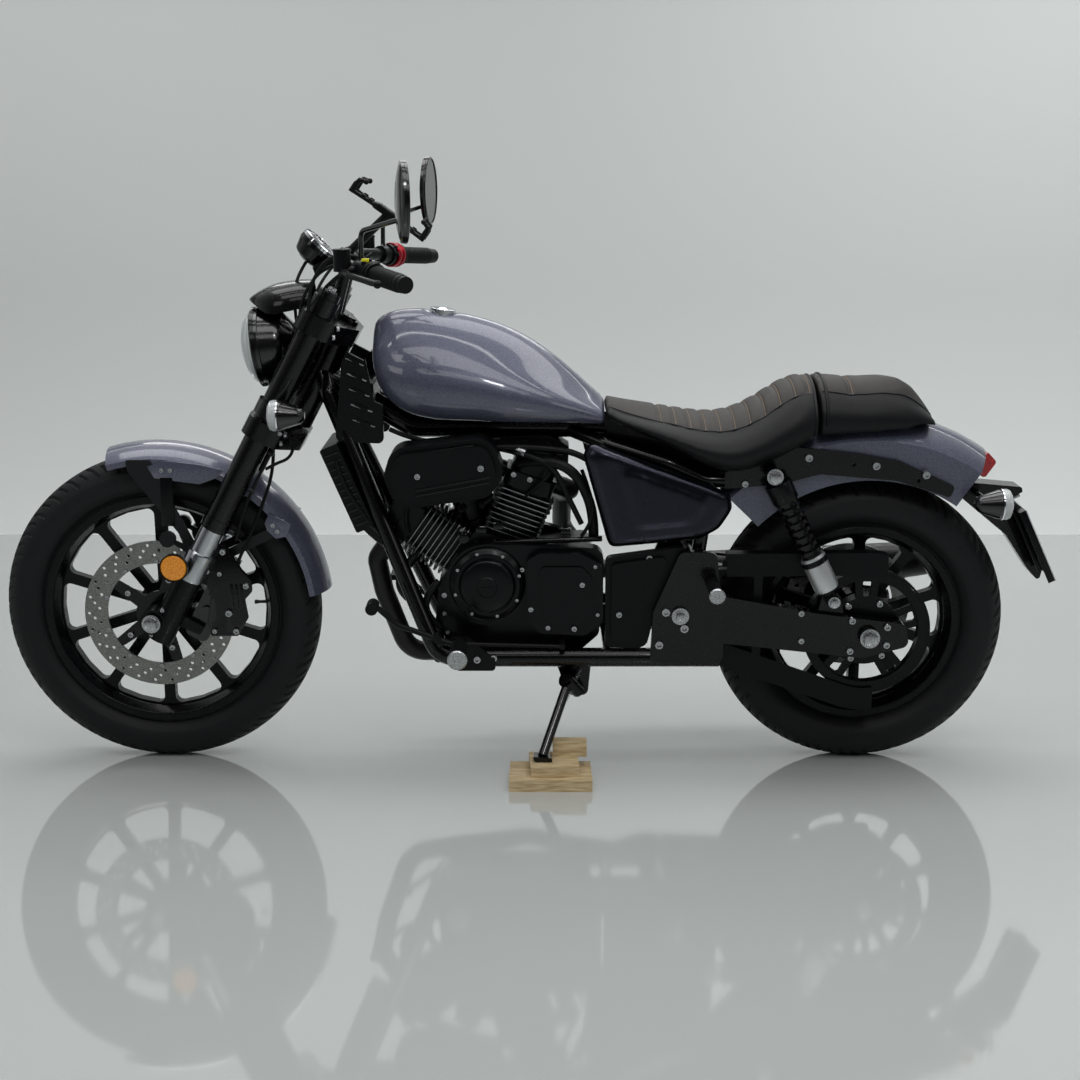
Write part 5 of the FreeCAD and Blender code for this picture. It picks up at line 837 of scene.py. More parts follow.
# %% Screws of the clamps, the axle and the feet
PINCH = 5.5
table = []
for up in (465, 485, 710, 730):
    for side in BOTH:
        spot = struck("triple_clamps", fork(up, 60, side * 124) + Vector((90, 0, 0)), (-1, 0, 0))
        if spot:
            table.append(((*spot, PINCH), (1, 0, 0)))
for side in BOTH:
    table.append(((*fork(741, 75, 0), 12), (sin(RAKE), 0, cos(RAKE))))
    table.append(((*fork(793, 25, side * 102), 10), (sin(RAKE), 0, cos(RAKE))))
fasteners("clamp_screws", "fork", table, zinc, "hex")
screws_on("axle_nut_front", "fork", "front_axle", [(-HALF_BASE, FRONT_RADIUS, 15)], BOTH, "hex")
screws_on("foot_screws", "fork", "fork_feet", [(-HALF_BASE + 22, 366, 5), (-HALF_BASE - 4, 312, 4)], BOTH)

# %% [markdown]
# The brake caliper is a casting with a smooth face, three ribs and several screws. Its outline is a plate
# extruded from a dozen corners and softened, which is quicker than sculpting and keeps its edges crisp.

# %% Caliper cover
CALIPER_FACE = -98.4
form = bmesh.new()
sheet_form(form, [(-648, 440), (-616, 498), (-596, 498), (-566, 446), (-546, 424), (-546, 398), (-562, 380),
                  (-556, 340), (-580, 300), (-636, 300), (-644, 330), (-634, 390)],
           CALIPER_FACE, CALIPER_FACE + 11.4, edge=2.0)
for x in (-588, -578, -568):
    block(form, (x, CALIPER_FACE - 1.6, 388), (5, 6, 54), edge=1.2)
finished(form, "caliper_cover", "fork", gloss_black)
caliper_rows = [(-603, 486, 7), (-638, 444, 6.4), (-612, 438, 5.4), (-557, 412, 7), (-582, 312, 7),
                (-628, 312, 5.6), (-596, 352, 8)]
fasteners("caliper_screws", "fork", [((x, CALIPER_FACE + 0.2, z, radius), (0, -1, 0))
                                     for x, z, radius in caliper_rows])

# %% [markdown]
# Rings of screws hold the discs and the pulley to their hubs. On the front disc, ten round bobbins join
# the bright ring to its carrier.

# %% Screws and bobbins of the wheels
DISC_SIDE = -60.0
screws_on("disc_screws_front", "front_wheel_body", "front_disc",
          ring_rows(-HALF_BASE, FRONT_RADIUS, 79, 5, 7.0))
fasteners("disc_bobbins", "front_wheel_body",
          [((x, DISC_SIDE - 2.8, z, radius), (0, -1, 0)) for x, z, radius in
           ring_rows(-HALF_BASE, FRONT_RADIUS, 115.5, 10, 4.6, 0.31)])
screws_on("disc_screws_rear", "rear_wheel_body", "rear_disc",
          ring_rows(HALF_BASE, REAR_RADIUS, 50, 5, 6.0, 0.2), (1,))
screws_on("pulley_screws", "rear_wheel_body", "rear_pulley",
          ring_rows(HALF_BASE, REAR_RADIUS, 66, 6, 7.5, 1.13))

# %% [markdown]
# A brake hose, the cables and the wires hang between the handlebar, the lamps and the leg. They are soft,
# but both ends are held, so each is a smooth curve through a few places that the fitter would choose, and
# they turn with the fork.

# %% Hoses of the fork
def hose(name, points, radius):
    """A rubber tube that turns with the fork."""
    return tube_along(name, points, radius, "fork", rubber)


hose("brake_hose", [(-268, -212, 1098), (-330, -190, 1120), (-392, -150, 1060), (-404, -128, 960),
                    fork(560, -14, -84), fork(420, 78, -70), fork(300, 96, -84), fork(200, 100, -96),
                    fork(128, 104, -84)], 3.6)
hose("clutch_cable", [(-276, -206, 1090), (-350, -176, 1098), (-418, -120, 1020), (-430, -66, 936),
                      (-404, -48, 880)], 3.4)
hose("throttle_cable", [(-276, 206, 1084), (-356, 170, 1096), (-420, 110, 1016), (-428, 60, 936),
                        (-398, 46, 878)], 3.4)
for side, word in SIDES:
    hose("loom_" + word, [(-300, side * 150, 1086), (-350, side * 110, 1058), (-400, side * 70, 1000),
                          (-424, side * 40, 940)], 4.6)
hose("gauge_cable", [(-420, 0, 1082), (-440, -20, 1050), (-444, -36, 1000), (-440, -30, 950)], 3.4)
for side, name in ((-1, "lamp_wire"), (1, "lamp_wire_right")):
    hose(name, [fork(540, 22, side * 150), fork(562, 30, side * 148), fork(590, 34, side * 138),
                fork(612, 32, side * 118)], 3.0)

# %% [markdown]
# ## Lamps, dial and mirrors
# The headlight looks straight ahead and a little down. Its glass bulges, and the real one's flutes are a
# bump pattern pulled long, because modelled flutes would be thousands of faces for a ripple of a
# millimetre. The rim is a thin rolled ring.

# %% Headlight glass
DIP = radians(7.0)
LAMP = Vector((-524, 0, 905))
lamp_way = LAMP + Vector((-cos(DIP), 0, -sin(DIP)))
lamp_glass = pattern(coating("lamp_glass", "dde2e3", 0.0, 0.08, Transmission_Weight=0.5, Coat_Weight=0.8),
                     "cells", 60, rough=(0.05, 0.14), bump=0.5, depth=0.002, stretch=(1, 1, 0.15),
                     span=(0.0, 0.7))
form = bmesh.new()
lathe(form, [(0, 0), (0.3, 76), (7, 76), (15, 72), (25, 58), (31.5, 39), (34.6, 18), (35.2, 0)], LAMP,
      lamp_way, 64)
glass = finished(form, "headlight_glass", "fork", lamp_glass)
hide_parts("headlight_lens")
form = bmesh.new()
lathe(form, [(-4, 80.5), (-4, 83.5), (3, 84), (5.5, 81.5), (5.5, 77), (4, 76.4), (0, 76.4), (-4, 80.5)],
      LAMP, lamp_way, 64)
finished(form, "headlight_rim", "fork", gloss_black)

# %% [markdown]
# The dial is a shallow disc with raised marks and a bright rim. The numbers of a dial are generic, so
# short strokes stand for them, and a rod with a hub is the needle.

# %% Dial
DIAL = Vector((-389, 0, 1117))
facing = Vector((1, 0, 1)).normalized()
form = bmesh.new()
lathe(form, [(0.2, 0), (0.2, 37.5), (1.4, 37.5), (1.4, 0)], DIAL, DIAL + facing, 48)
finished(form, "dial_face", "fork", dial_face)
form = bmesh.new()
turned_dial = pointing(DIAL, DIAL + facing)
for k in range(25):
    angle = radians(-30 + 10 * k)
    long = 5.0 if k % 3 == 0 else 2.6
    start, end = (turned_dial @ Vector((r * cos(angle), r * sin(angle), 1.8)) for r in (34.0 - long, 34.0))
    drum(form, start, end, 0.55, sides=6)
drum(form, turned_dial @ Vector((0, 0, 1.9)), turned_dial @ Vector((-20, 18, 1.9)), 0.8, 0.3, sides=6)
drum(form, turned_dial @ Vector((0, 0, 1.4)), turned_dial @ Vector((0, 0, 4.0)), 4.0, sides=20, edge=0.6)
finished(form, "dial_marks", "fork", dial_marks)
form = bmesh.new()
lathe(form, [(1.5, 39), (3.4, 39), (4.2, 41), (3.4, 43.5), (-4, 43.8), (-4, 42), (1.5, 41)], DIAL,
      DIAL + facing, 48)
finished(form, "dial_rim", "fork", chrome)

# %% [markdown]
# The solid's mirror heads are thick, and the real ones are thin shells. The heads of a copy are pressed
# flat towards their glass, and the arms keep their shape, because only vertices near a head's own middle
# are moved.

# %% Thin mirror heads
GLASS_LEVEL, THINNED = 12.2, 0.4
OVAL = Matrix.Diagonal((1, 104 / 150, 1, 1))


def mirror_place(side):
    """Matrix from a mirror's own space, with its glass facing +X, to the bench."""
    return Matrix.Translation((-196, side * 348, 1214)) @ Matrix.Rotation(radians(-12 * side), 4, "Z")


form = bmesh.new()
form.from_mesh(frame["nodes"]["mirrors"].data)
for side in BOTH:
    tilt = mirror_place(side)
    back = tilt.inverted()
    for vert in form.verts:
        spot = back @ (UNBENCH @ vert.co)
        if abs(spot.x) < 16 and abs(spot.y) < 56 and abs(spot.z) < 78:
            spot.x = GLASS_LEVEL - (GLASS_LEVEL - spot.x) * THINNED
            vert.co = BENCH @ (tilt @ spot)
heads = piece_of(form, "mirror_arms", "fork", piano_plastic)
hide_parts("mirrors")

# %% [markdown]
# A mirror is an oval glass in a rim, with a domed back. All three are turned round and then squashed into
# an oval, which is simpler than lofting ovals, and one matrix tilts them towards the rider.

# %% Mirror glass, rims and backs
MIRROR_PARTS = {
    "glass": ([(GLASS_LEVEL, 0), (GLASS_LEVEL, 69), (10.5, 70.5)], silvered, "chrome"),
    "rim": ([(11, 71), (13.4, 70.4), (14.4, 72.5), (13, 75), (9, 75.6), (9, 73), (11, 71)], piano_plastic,
            "gloss_plastic"),
    "back": ([(4, 73), (0, 67), (-4, 50), (-6.4, 25), (-7, 0)], piano_plastic, "gloss_plastic")}
for side, word in SIDES:
    for part, (rows, finish, slot) in MIRROR_PARTS.items():
        form = bmesh.new()
        lathe(form, rows, (0, 0, 0), (1, 0, 0), 48)
        bmesh.ops.transform(form, matrix=mirror_place(side) @ OVAL, verts=form.verts)
        finished(form, f"mirror_{part}_{word}", "fork", finish)

# %% [markdown]
# ## Front fender and wheel
# Painted tabs with screws hold the front fender, and a strap beside the reflector hangs from it. The
# tyre's valve stands inside the rim.

# %% Tabs, screws, strap and valve
form = bmesh.new()
for side in BOTH:
    y0, y1 = side * 74.0, side * 76.4
    sheet_form(form, [(-757, 664), (-744, 639), (-695, 632), (-650, 626), (-613, 639), (-598, 656),
                      (-650, 668), (-716, 676)], y0, y1, edge=0.5)
    sheet_form(form, [(-517, 541), (-512, 526), (-494, 508), (-471, 514), (-462, 540), (-508, 563)], y0, y1,
               edge=0.5)
    for x, z, wide, tall in ((-690, 650, 70, 26), (-490, 534, 30, 30)):
        block(form, (x, side * 71.4, z), (wide, 6, tall), edge=0.5)
finished(form, "fender_tabs", "fork", flake_paint)
table = [((x, side * 76.2, z, 5.2), (0, side, 0)) for side in BOTH
         for x, z in ((-727, 656), (-709, 656), (-499, 538), (-490, 525))]
fasteners("fender_tab_screws", "fork", table)
form = bmesh.new()
for side in BOTH:
    block(form, (-719, side * 76, 588), (26, 3, 104), edge=0.8)
finished(form, "reflector_straps", "fork", satin_black)
form = bmesh.new()
drum(form, (-526, -14, 353), (-548, -16, 353), 3.4, sides=16)
drum(form, (-548, -16, 353), (-556, -17, 353), 4.6, sides=12, edge=0.6)
finished(form, "valve", "front_wheel_body", dark_steel)

# %% [markdown]
# Between the two cylinders sits the intake: an upright throttle body with two stubs that reach the heads.
# It is all turned work, so three spun profiles make it, and a small sensor plugs into its side.

# %% Intake between the cylinders
form = bmesh.new()
lathe(form, [(0, 0), (0, 25), (20, 25), (22, 33), (30, 33), (32, 28), (66, 28), (68, 34), (78, 34), (80, 30),
             (100, 30), (100, 0)], (-70, 0, 508), (-99, 0, 600), 40)
for end in ((-128, 0, 538), (-26, 0, 592)):
    lathe(form, [(0, 19), (22, 19), (23, 24), (31, 24), (32, 19), (56, 19)], (-83, 0, 552), end, 32)
drum(form, (-104, -18, 560), (-104, -46, 566), 8, sides=24, edge=1.5)
finished(form, "intake_body", "chassis", engine_black)

# %% [markdown]
# Dark sheet and plastic close the gaps that would otherwise show daylight: a tray under the seat and a
# ribbed breather box above the rear cylinder. Both are flat-sided, so a side view's corners are joined
# between two depths.

# %% Dark tray under the seat and box above the rear cylinder
def slab(form, corners, low, high, edge=0.0):
    """A flat-sided body between two depths, from a side view's corners."""
    faces = [[form.verts.new((x, y, z)) for x, z in corners] for y in (low, high)]
    form.faces.new(faces[0][::-1])
    form.faces.new(faces[1])
    for k in range(len(corners)):
        form.faces.new((faces[0][k - 1], faces[0][k], faces[1][k], faces[1][k - 1]))
    if edge:
        soften(form, faces[0] + faces[1], edge, 3)


form = bmesh.new()
for side in BOTH:
    slab(form, [(190, 765), (222, 686), (340, 650), (455, 612), (484, 642), (402, 683), (317, 713),
                (242, 758)], side * 24 - 2, side * 24 + 2)
finished(form, "seat_tray", "chassis", satin_black)
form = bmesh.new()
slab(form, [(-42, 722), (84, 724), (124, 700), (122, 650), (78, 652), (4, 684), (-40, 694)], -44, 22, 7.0)
for z in (668, 682, 696):
    drum(form, (52, -44.5, z + 6), (112, -44.5, z), 2.4, sides=12)
drum(form, (30, -44, 708), (30, -50, 708), 9, sides=24, edge=1.0)
finished(form, "breather_box", "chassis", grained_plastic)

# %% [markdown]
# The front disc floats: a bright drilled ring on a black carrier. Cutting 78 holes with Booleans is slow,
# so the ring is drawn flat as loops, filled between them with its holes left open, and pulled to its
# thickness.

# %% Drilled front disc
RING_OUT, RING_IN, RING_THICK = 160.0, 111.0, 5.6
HOLE, HOLES_IN_ROW = 3.7, 26


def circle_of(form, radius, x, z, count):
    """Edges of a circle about (x, z) on the ring's left face."""
    spots = [form.verts.new((x + radius * cos(2 * pi * k / count), DISC_SIDE - RING_THICK / 2,
                             z + radius * sin(2 * pi * k / count))) for k in range(count)]
    return [form.edges.new(pair) for pair in zip(spots, spots[1:] + spots[:1])]


form = bmesh.new()
loops = [circle_of(form, radius, -HALF_BASE, FRONT_RADIUS, 120) for radius in (RING_OUT, RING_IN)]
for row, reach in enumerate((151.0, 140.0, 129.0)):
    for k in range(HOLES_IN_ROW):
        turn = 2 * pi * (k + row * 0.32) / HOLES_IN_ROW
        loops.append(circle_of(form, HOLE, -HALF_BASE + reach * cos(turn), FRONT_RADIUS + reach * sin(turn),
                               12))
bmesh.ops.triangle_fill(form, use_beauty=True, use_dissolve=False,
                        edges=[edge for loop in loops for edge in loop])
pulled_out(form, form.faces[:], (0, RING_THICK, 0))
finished(form, "drilled_ring", "front_wheel_body", disc_steel, sharp=30)

# %% [markdown]
# The carrier needs no new shape: a copy of the solid's mesh loses every face outside the ring's inner
# edge.

# %% Carrier of the front disc
CARRIER_OUT = 118
form = bmesh.new()
form.from_mesh(frame["nodes"]["front_disc"].data)
hub = Vector((-HALF_BASE, 0, FRONT_RADIUS))
outside = [face for face in form.faces
           if (UNBENCH @ face.calc_center_median() - hub).xz.length > CARRIER_OUT]
bmesh.ops.delete(form, geom=outside, context="FACES")
carrier = piece_of(form, "disc_carrier", "front_wheel_body", gloss_black, 30)
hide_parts("front_disc")

# %% [markdown]
# The cowl over the headlight is a beaked shell. Arched sections narrow to a point ahead of the lamp, each
# a half, a foot and a crown height at a place along the machine. The skin between them gets its wall from
# solidify, and a short post carries it.

# %% Beaked cowl over the headlight
COWL_ROWS = [(-541, 4, 1002, 1006), (-534, 18, 999, 1012), (-520, 38, 991, 1021), (-500, 56, 980, 1031),
             (-480, 66, 979, 1038), (-455, 71, 985, 1042), (-430, 70, 990, 1045), (-410, 64, 994, 1045)]
form = bmesh.new()
grid = []
for x, half, low, crown in COWL_ROWS:
    turns = [pi * k / 20 - pi / 2 for k in range(21)]
    grid.append([form.verts.new((x, half * sin(a), low + (crown - low) * max(0, cos(a)) ** 0.75))
                 for a in turns])
for row, after in zip(grid, grid[1:]):
    for k in range(20):
        form.faces.new((row[k], row[k + 1], after[k + 1], after[k]))
form.faces.new(grid[0])
bmesh.ops.recalc_face_normals(form, faces=form.faces)
bmesh.ops.solidify(form, geom=form.faces[:], thickness=3.0)
drum(form, (-486, 0, 962), (-486, 0, 1032), 12)
cowl = finished(form, "beaked_cowl", "fork", gloss_black, sharp=50)
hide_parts("headlight_visor")

# %% [markdown]
# The lower end of each fork leg is bright: a polished sleeve with a rolled shoulder, and the slider's
# bare tube above it. A thin turned skin on each leg shows it.

# %% Bright sleeves of the fork
form = bmesh.new()
for side in BOTH:
    low, high = fork(0, 25, side * 102), fork(10, 25, side * 102)
    lathe(form, [(116, 29.1), (116, 29.7), (176, 29.7), (179, 28.6), (181, 25.2), (237, 25.2), (237, 20.6)],
          low, high, 56)
finished(form, "fork_sleeves", "fork", slider_chrome)

# %% [markdown]
# ## Engine and radiator
# Each cylinder fin is machined bright along its edge, so the barrels read as stacks of fine lines. The
# radiator has a field of thin core fins behind its slats and moulded ribs down both tanks.

# %% Bright edges of the fins
CRANK = Vector((-35, 0, 415))
BANKS = (-55, 20)
FINS, FIRST_FIN, FIN_STEP = 9, 103.95, 11.5
EDGE_THICK = 1.4


def bank_place(tilt):
    """Matrix that stands a cylinder's own upright space on the crank, tilted fore and aft."""
    return Matrix.Translation(CRANK) @ Matrix.Rotation(radians(tilt), 4, "Y")


def rounded(half_x, half_y, corner, steps=4):
    """Outline of a rectangle with round corners."""
    return [(sx * (half_x - corner) + corner * cos(a), sy * (half_y - corner) + corner * sin(a))
            for sx, sy, turn in ((1, 1, 0), (-1, 1, 1), (-1, -1, 2), (1, -1, 3))
            for a in (pi / 2 * (turn + k / steps) for k in range(steps + 1))]


form = bmesh.new()
for tilt in BANKS:
    stand_up = bank_place(tilt)
    for k in range(FINS):
        grow = 3.35 if k >= FINS - 3 else 0.35
        level = FIRST_FIN + FIN_STEP * k - EDGE_THICK / 2
        ring = [form.verts.new(stand_up @ Vector((x, y, level)))
                for x, y in rounded(61 + grow, 60 + grow, 20)]
        pulled_out(form, [form.faces.new(ring)], stand_up.to_3x3() @ Vector((0, 0, EDGE_THICK)))
finished(form, "fin_edges", "chassis", alloy)

# %% [markdown]
# The radiator leans with the frame's front tubes. Its core is a row of thin upright fins, made in a loop,
# and each plastic tank carries moulded ribs. One function gives every place on it from its own top edge.

# %% Radiator core and tank ribs
TOP_OF_CORE, DOWNWARD = Vector((-378.4, 0, 816)), Vector((228.4, 0, -549)).normalized()
FORWARD = Vector((DOWNWARD.z, 0, -DOWNWARD.x))
LEAN_BACK = atan2(DOWNWARD.x, -DOWNWARD.z)


def on_radiator(down, ahead, side=0.0):
    """Point so far down from the radiator's top edge, ahead of its back face, and to the side."""
    return TOP_OF_CORE + DOWNWARD * (100 + down) + FORWARD * (18.3 + ahead) + Vector((0, side, 0))


form = bmesh.new()
for k in range(41):
    block(form, on_radiator(95, 29.4, 4 * (k - 20)), (3.2, 1.0, 158), turn=-LEAN_BACK)
finished(form, "radiator_core", "chassis", dark_steel)
form = bmesh.new()
for k in range(11):
    for side in BOTH:
        block(form, on_radiator(16 + 15.8 * k, 20, side * 98.4), (32, 2.6, 5), edge=0.8, turn=-LEAN_BACK)
finished(form, "radiator_ribs", "chassis", gloss_black)
run("radiator_hose", [on_radiator(176, 18, -84), on_radiator(206, 6, -92), (-232, -92, 486), (-222, -96, 430),
                      (-196, -90, 392)], 13.0)
run("radiator_wires", [on_radiator(30, 16, -100), on_radiator(80, 22, -104), on_radiator(130, 16, -101),
                       on_radiator(190, 4, -96), (-240, -84, 470)], 4.0)

# %% [markdown]
# Thin pipes and small ledges crowd the space between the crankcase and the cylinders, and four bolts hold
# each head. They are plain drums and softened blocks, because so little of each shows.

# %% Pipes and ledges beside the crankcase
form = bmesh.new()
for start, end, radius in (((-40, -92, 504), (194, -92, 513), 6.0),
                           ((-24, -112, 492), (150, -112, 491), 4.5)):
    drum(form, start, end, radius, sides=20, edge=1.0)
drum(form, (-96, -84, 516), (-96, -106, 516), 11, sides=24, edge=1.4)
for x, z in ((-60, 532), (-24, 540), (118, 528)):
    block(form, (x, -88, z), (22, 18, 14), edge=3)
finished(form, "engine_pipes", "chassis", gloss_black)
form = bmesh.new()
for tilt in BANKS:
    stand_up = bank_place(tilt)
    for x in (-32, 32):
        for y in (-34, 34):
            hex_bolt(form, stand_up @ Vector((x, y, 266.6)), stand_up.to_3x3() @ Vector((0, 0, 1)), 6)
finished(form, "rocker_bolts", "chassis", zinc, sharp=30)
run("engine_hose_low", [(-150, -92, 420), (-176, -104, 396), (-180, -104, 350), (-150, -92, 318)], 8.0)
run("starter_cable", [(150, -98, 520), (176, -108, 556), (170, -100, 610), (150, -88, 660)], 4.0)
run("vent_hose", [(-4, -74, 700), (46, -96, 690), (92, -100, 668), (118, -98, 612), (150, -96, 546)], 6.0)
form = bmesh.new()
drum(form, (8, -78, 704), (34, -92, 695), 9.4, sides=24, edge=1.0)
finished(form, "hose_clip", "chassis", zinc)

# %% [markdown]
# Each exhaust can has a clamp band where the pipe enters, three rolled beads round its skin and a turned
# ring at its outlet. Both cans are the same, so the loop only needs their two axes.

# %% Clamp bands and outlet rings of the exhaust
form = bmesh.new()
for start, end in (((240, 214, 261), (870, 220, 284)), ((322, 214, 358), (960, 220, 386))):
    start, end = Vector(start), Vector(end)
    length = (end - start).length
    lathe(form, [(2, 24.2), (2, 26), (14, 26), (14, 25.4)], start, end, 40)
    block(form, start + Vector((8, 0, 29)), (10, 14, 8), edge=1.5)
    lathe(form, [(length - 6, 34.3), (length - 1, 34.4), (length - 0.2, 33), (length - 0.2, 28),
                 (length - 6, 26.6)], start, end, 48)
    for k in range(3):
        lathe(form, [(96 + 6 * k, 43), (98 + 6 * k, 43.8), (100 + 6 * k, 43)], start, end, 48)
finished(form, "exhaust_rings", "chassis", steel)

# %% [markdown]
# ## Handlebar
# The bar's two ends rise towards the middle and sweep forward, so places on it are given as a way in from
# its end, ahead of it and above it. One function turns these into bench points for either side.

# %% Places on the handlebar
BAR_END, BAR_KNEE = Vector((-191, 372, 1067)), Vector((-334, 133, 1088))
BAR_WAY = (BAR_KNEE - BAR_END).normalized()
PLAN = hypot(BAR_WAY.x, BAR_WAY.y)


def on_bar(back, side, ahead=0.0, up=0.0):
    """A place so far in from an end of the handlebar, then ahead of it and above it."""
    spot = BAR_END + BAR_WAY * back + Vector((BAR_WAY.y, -BAR_WAY.x, 0)) / PLAN * ahead + Vector((0, 0, up))
    return Vector((spot.x, side * spot.y, spot.z))


print("bar from its end to its knee, mm", round((BAR_KNEE - BAR_END).length))


# %% [markdown]
# The grips have rings of moulded ribs. Each lever perch has a reservoir lid with two screws and a pivot
# screw, and on the right a red anodised collar stands beside the grip.

# %% Grips, lids, screws and collars
form = bmesh.new()
for side in BOTH:
    for k in range(12):
        lathe(form, [(0, 16.8), (0.8, 18.4), (4.2, 18.4), (5, 16.8)], on_bar(13 + 8.2 * k, side),
              on_bar(20 + 8.2 * k, side), 28)
finished(form, "grip_ribs", "fork", rubber)
form, table = bmesh.new(), []
for side in BOTH:
    pot = on_bar(187, side, 37, 36.2)
    drum(form, pot, pot + Vector((0, 0, 5)), 18.4, 17.2, sides=36, edge=0.8)
    table += [((pot.x, pot.y + step, pot.z + 5, 2.6), (0, 0, 1)) for step in (-11, 11)]
    table.append(((*on_bar(176, side, 42, 9), 5), (0, 0, 1)))
    table += [((*on_bar(back, side, 0, 19), 3.4), (0, 0, 1)) for back in (170, 182)]
    table.append(((*on_bar(143, side, -22), 3.2), (0.5, side * 0.8, 0)))
finished(form, "reservoir_lids", "fork", satin_black)
fasteners("lever_screws", "fork", table, zinc)
form = bmesh.new()
lathe(form, [(0, 23.2), (0, 26), (2, 27), (9, 27), (12, 25), (15, 27), (24, 27), (26, 26), (26, 23.2)],
      on_bar(128, 1), on_bar(160, 1), 40)
drum(form, on_bar(176, 1, 42, -9), on_bar(176, 1, 42, -20), 8, edge=1.2)
drum(form, on_bar(200, 1, 20), on_bar(200, 1, 36), 7, edge=1.2)
finished(form, "red_collar", "fork", red_anodised)

# %% [markdown]
# The switch housings carry a few thumb buttons, and one of them is yellow.

# %% Switch buttons
form = bmesh.new()
for side in BOTH:
    for back, ahead, up in ((132, -12, 18), (150, -14, 17), (140, 12, 19), (156, -22, 2)):
        block(form, on_bar(back, side, ahead, up), (10, 12, 8), edge=1.6)
    drum(form, on_bar(141, side, 0, 20), on_bar(141, side, 0, 27), 5, sides=20, edge=1.0)
finished(form, "switch_buttons", "fork", grained_plastic)
form = bmesh.new()
block(form, on_bar(143, -1, 8, 22), (15, 12, 11), edge=1.6)
finished(form, "yellow_button", "fork", yellow_plastic)

# %% [markdown]
# The phone holder grips from four corners. Each claw is a post with a hooked finger and a rubber tip, and
# the holder's face slopes back, so its own level and normal directions place everything.

# %% Claws of the phone holder
SLOPE = radians(35)
LEVEL, NORMAL = Vector((cos(SLOPE), 0, -sin(SLOPE))), Vector((sin(SLOPE), 0, cos(SLOPE)))
HOLDER = Vector((-247, 0, 1180))
form, tips = bmesh.new(), bmesh.new()
for end in BOTH:
    for side in BOTH:
        post = HOLDER + LEVEL * (end * 85) + Vector((0, side * 36, 0)) + NORMAL * 14
        hook = post + NORMAL * 10 - LEVEL * (end * 2)
        tip = hook - LEVEL * (end * 13) + NORMAL * 4
        drum(form, post, hook, 5.2, 4.6, sides=16)
        drum(form, hook, tip, 4.6, 4.2, sides=16)
        ball(form, hook, 4.8)
        ball(tips, tip, 5.6)
    foot = HOLDER + LEVEL * (13 * end)
    drum(form, foot + NORMAL * 3.6, foot + NORMAL * 6.6, 4, sides=20, edge=0.5)
block(tips, HOLDER + NORMAL * 4.8, (54, 38, 2.4), edge=1.0, turn=SLOPE)
for reach in (-60, -44, 44, 60):
    for side in BOTH:
        beside = Vector((0, side * abs(reach) * 0.42, 0))
        block(form, HOLDER + LEVEL * reach + beside + NORMAL * 2, (10, 5, 4), edge=1, turn=SLOPE)
finished(form, "holder_claws", "fork", satin_black)
finished(tips, "holder_pads", "fork", rubber)

# %% [markdown]
# ## Indicators, tail and number plate
# Each indicator has a ribbed pale lens in a thin bright ring. The lens is spun, and its ribs are three
# more thin rings on its rim.

# %% Indicator lenses
def lens_on(name, body, x, z, reach, aim):
    """Lens and ring on the pair of indicators at a place, aimed along the machine."""
    glass, ring = bmesh.new(), bmesh.new()
    for side in BOTH:
        face = Vector((x, side * reach, z))
        ahead = face + Vector((aim, 0, 0))
        lathe(glass, [(-7, 30.2), (-7, 31.4), (1, 31.6), (7, 30), (11, 24), (13, 12), (13.5, 0)], face,
              ahead, 40)
        lathe(ring, [(-10, 30.2), (-10, 32), (-7.2, 32.2), (-7.2, 30.2)], face, ahead, 40)
        for k in range(3):
            lathe(glass, [(-5 + 3 * k, 31.2), (-4 + 3 * k, 32), (-3 + 3 * k, 31.2)], face, ahead, 40)
    finished(glass, name + "_lenses", body, pale_lens)
    finished(ring, name + "_rings", body, chrome)


lens_on("front_indicator", "fork", -472.3, 787.4, 170, -1)
lens_on("rear_indicator", "chassis", 1017.5, 600.0, 152, 1)
fasteners("indicator_screws", "fork", [((-467, side * 134, 744, 5), (0, side, 0)) for side in BOTH])

# %% [markdown]
# The number plate sits in a black tray, and a small lamp above it lights it. The plate hangs at a slant,
# so places on it are given as a way down it, off its back and to the side.

# %% Plate tray and plate lamp
PLATE_TOP, PLATE_WAY = Vector((1077, 0, 576)), Vector((74, 0, -154)).normalized()
PLATE_OUT = Vector((-PLATE_WAY.z, 0, PLATE_WAY.x))
PLATE_TURN = atan2(-PLATE_OUT.z, PLATE_OUT.x)


def on_plate(down, off, side=0.0):
    """Point so far down the number plate, off its back face, and to the side."""
    return PLATE_TOP + PLATE_WAY * down + PLATE_OUT * off + Vector((0, side, 0))


form = bmesh.new()
block(form, on_plate(84, -1.7), (2.2, 204, 168), edge=0.4, turn=PLATE_TURN)
for side in BOTH:
    block(form, on_plate(84, -8, side * 101.2), (14, 2, 168), edge=0.5, turn=PLATE_TURN)
    block(form, on_plate(84, -9, side * 40), (14, 3, 150), edge=0.8, turn=PLATE_TURN)
block(form, on_plate(1, -8), (14, 204, 2.2), edge=0.5, turn=PLATE_TURN)
finished(form, "plate_tray", "chassis", satin_black)
form = bmesh.new()
block(form, on_plate(-9, 4), (22, 44, 6), edge=1.6, turn=PLATE_TURN)
finished(form, "plate_lamp", "chassis", pale_lens)
fasteners("plate_tray_screws", "chassis",
          [((*on_plate(14, 2.2, side * 62), 4.4), PLATE_OUT) for side in BOTH])

# %% [markdown]
# ## Shocks, pegs and the stand
# The lower half of each shock is a bright can, its upper collar is black, and large bolts hold both eyes.
# Can and collar are turned about the line between the eyes, at shares of its length.

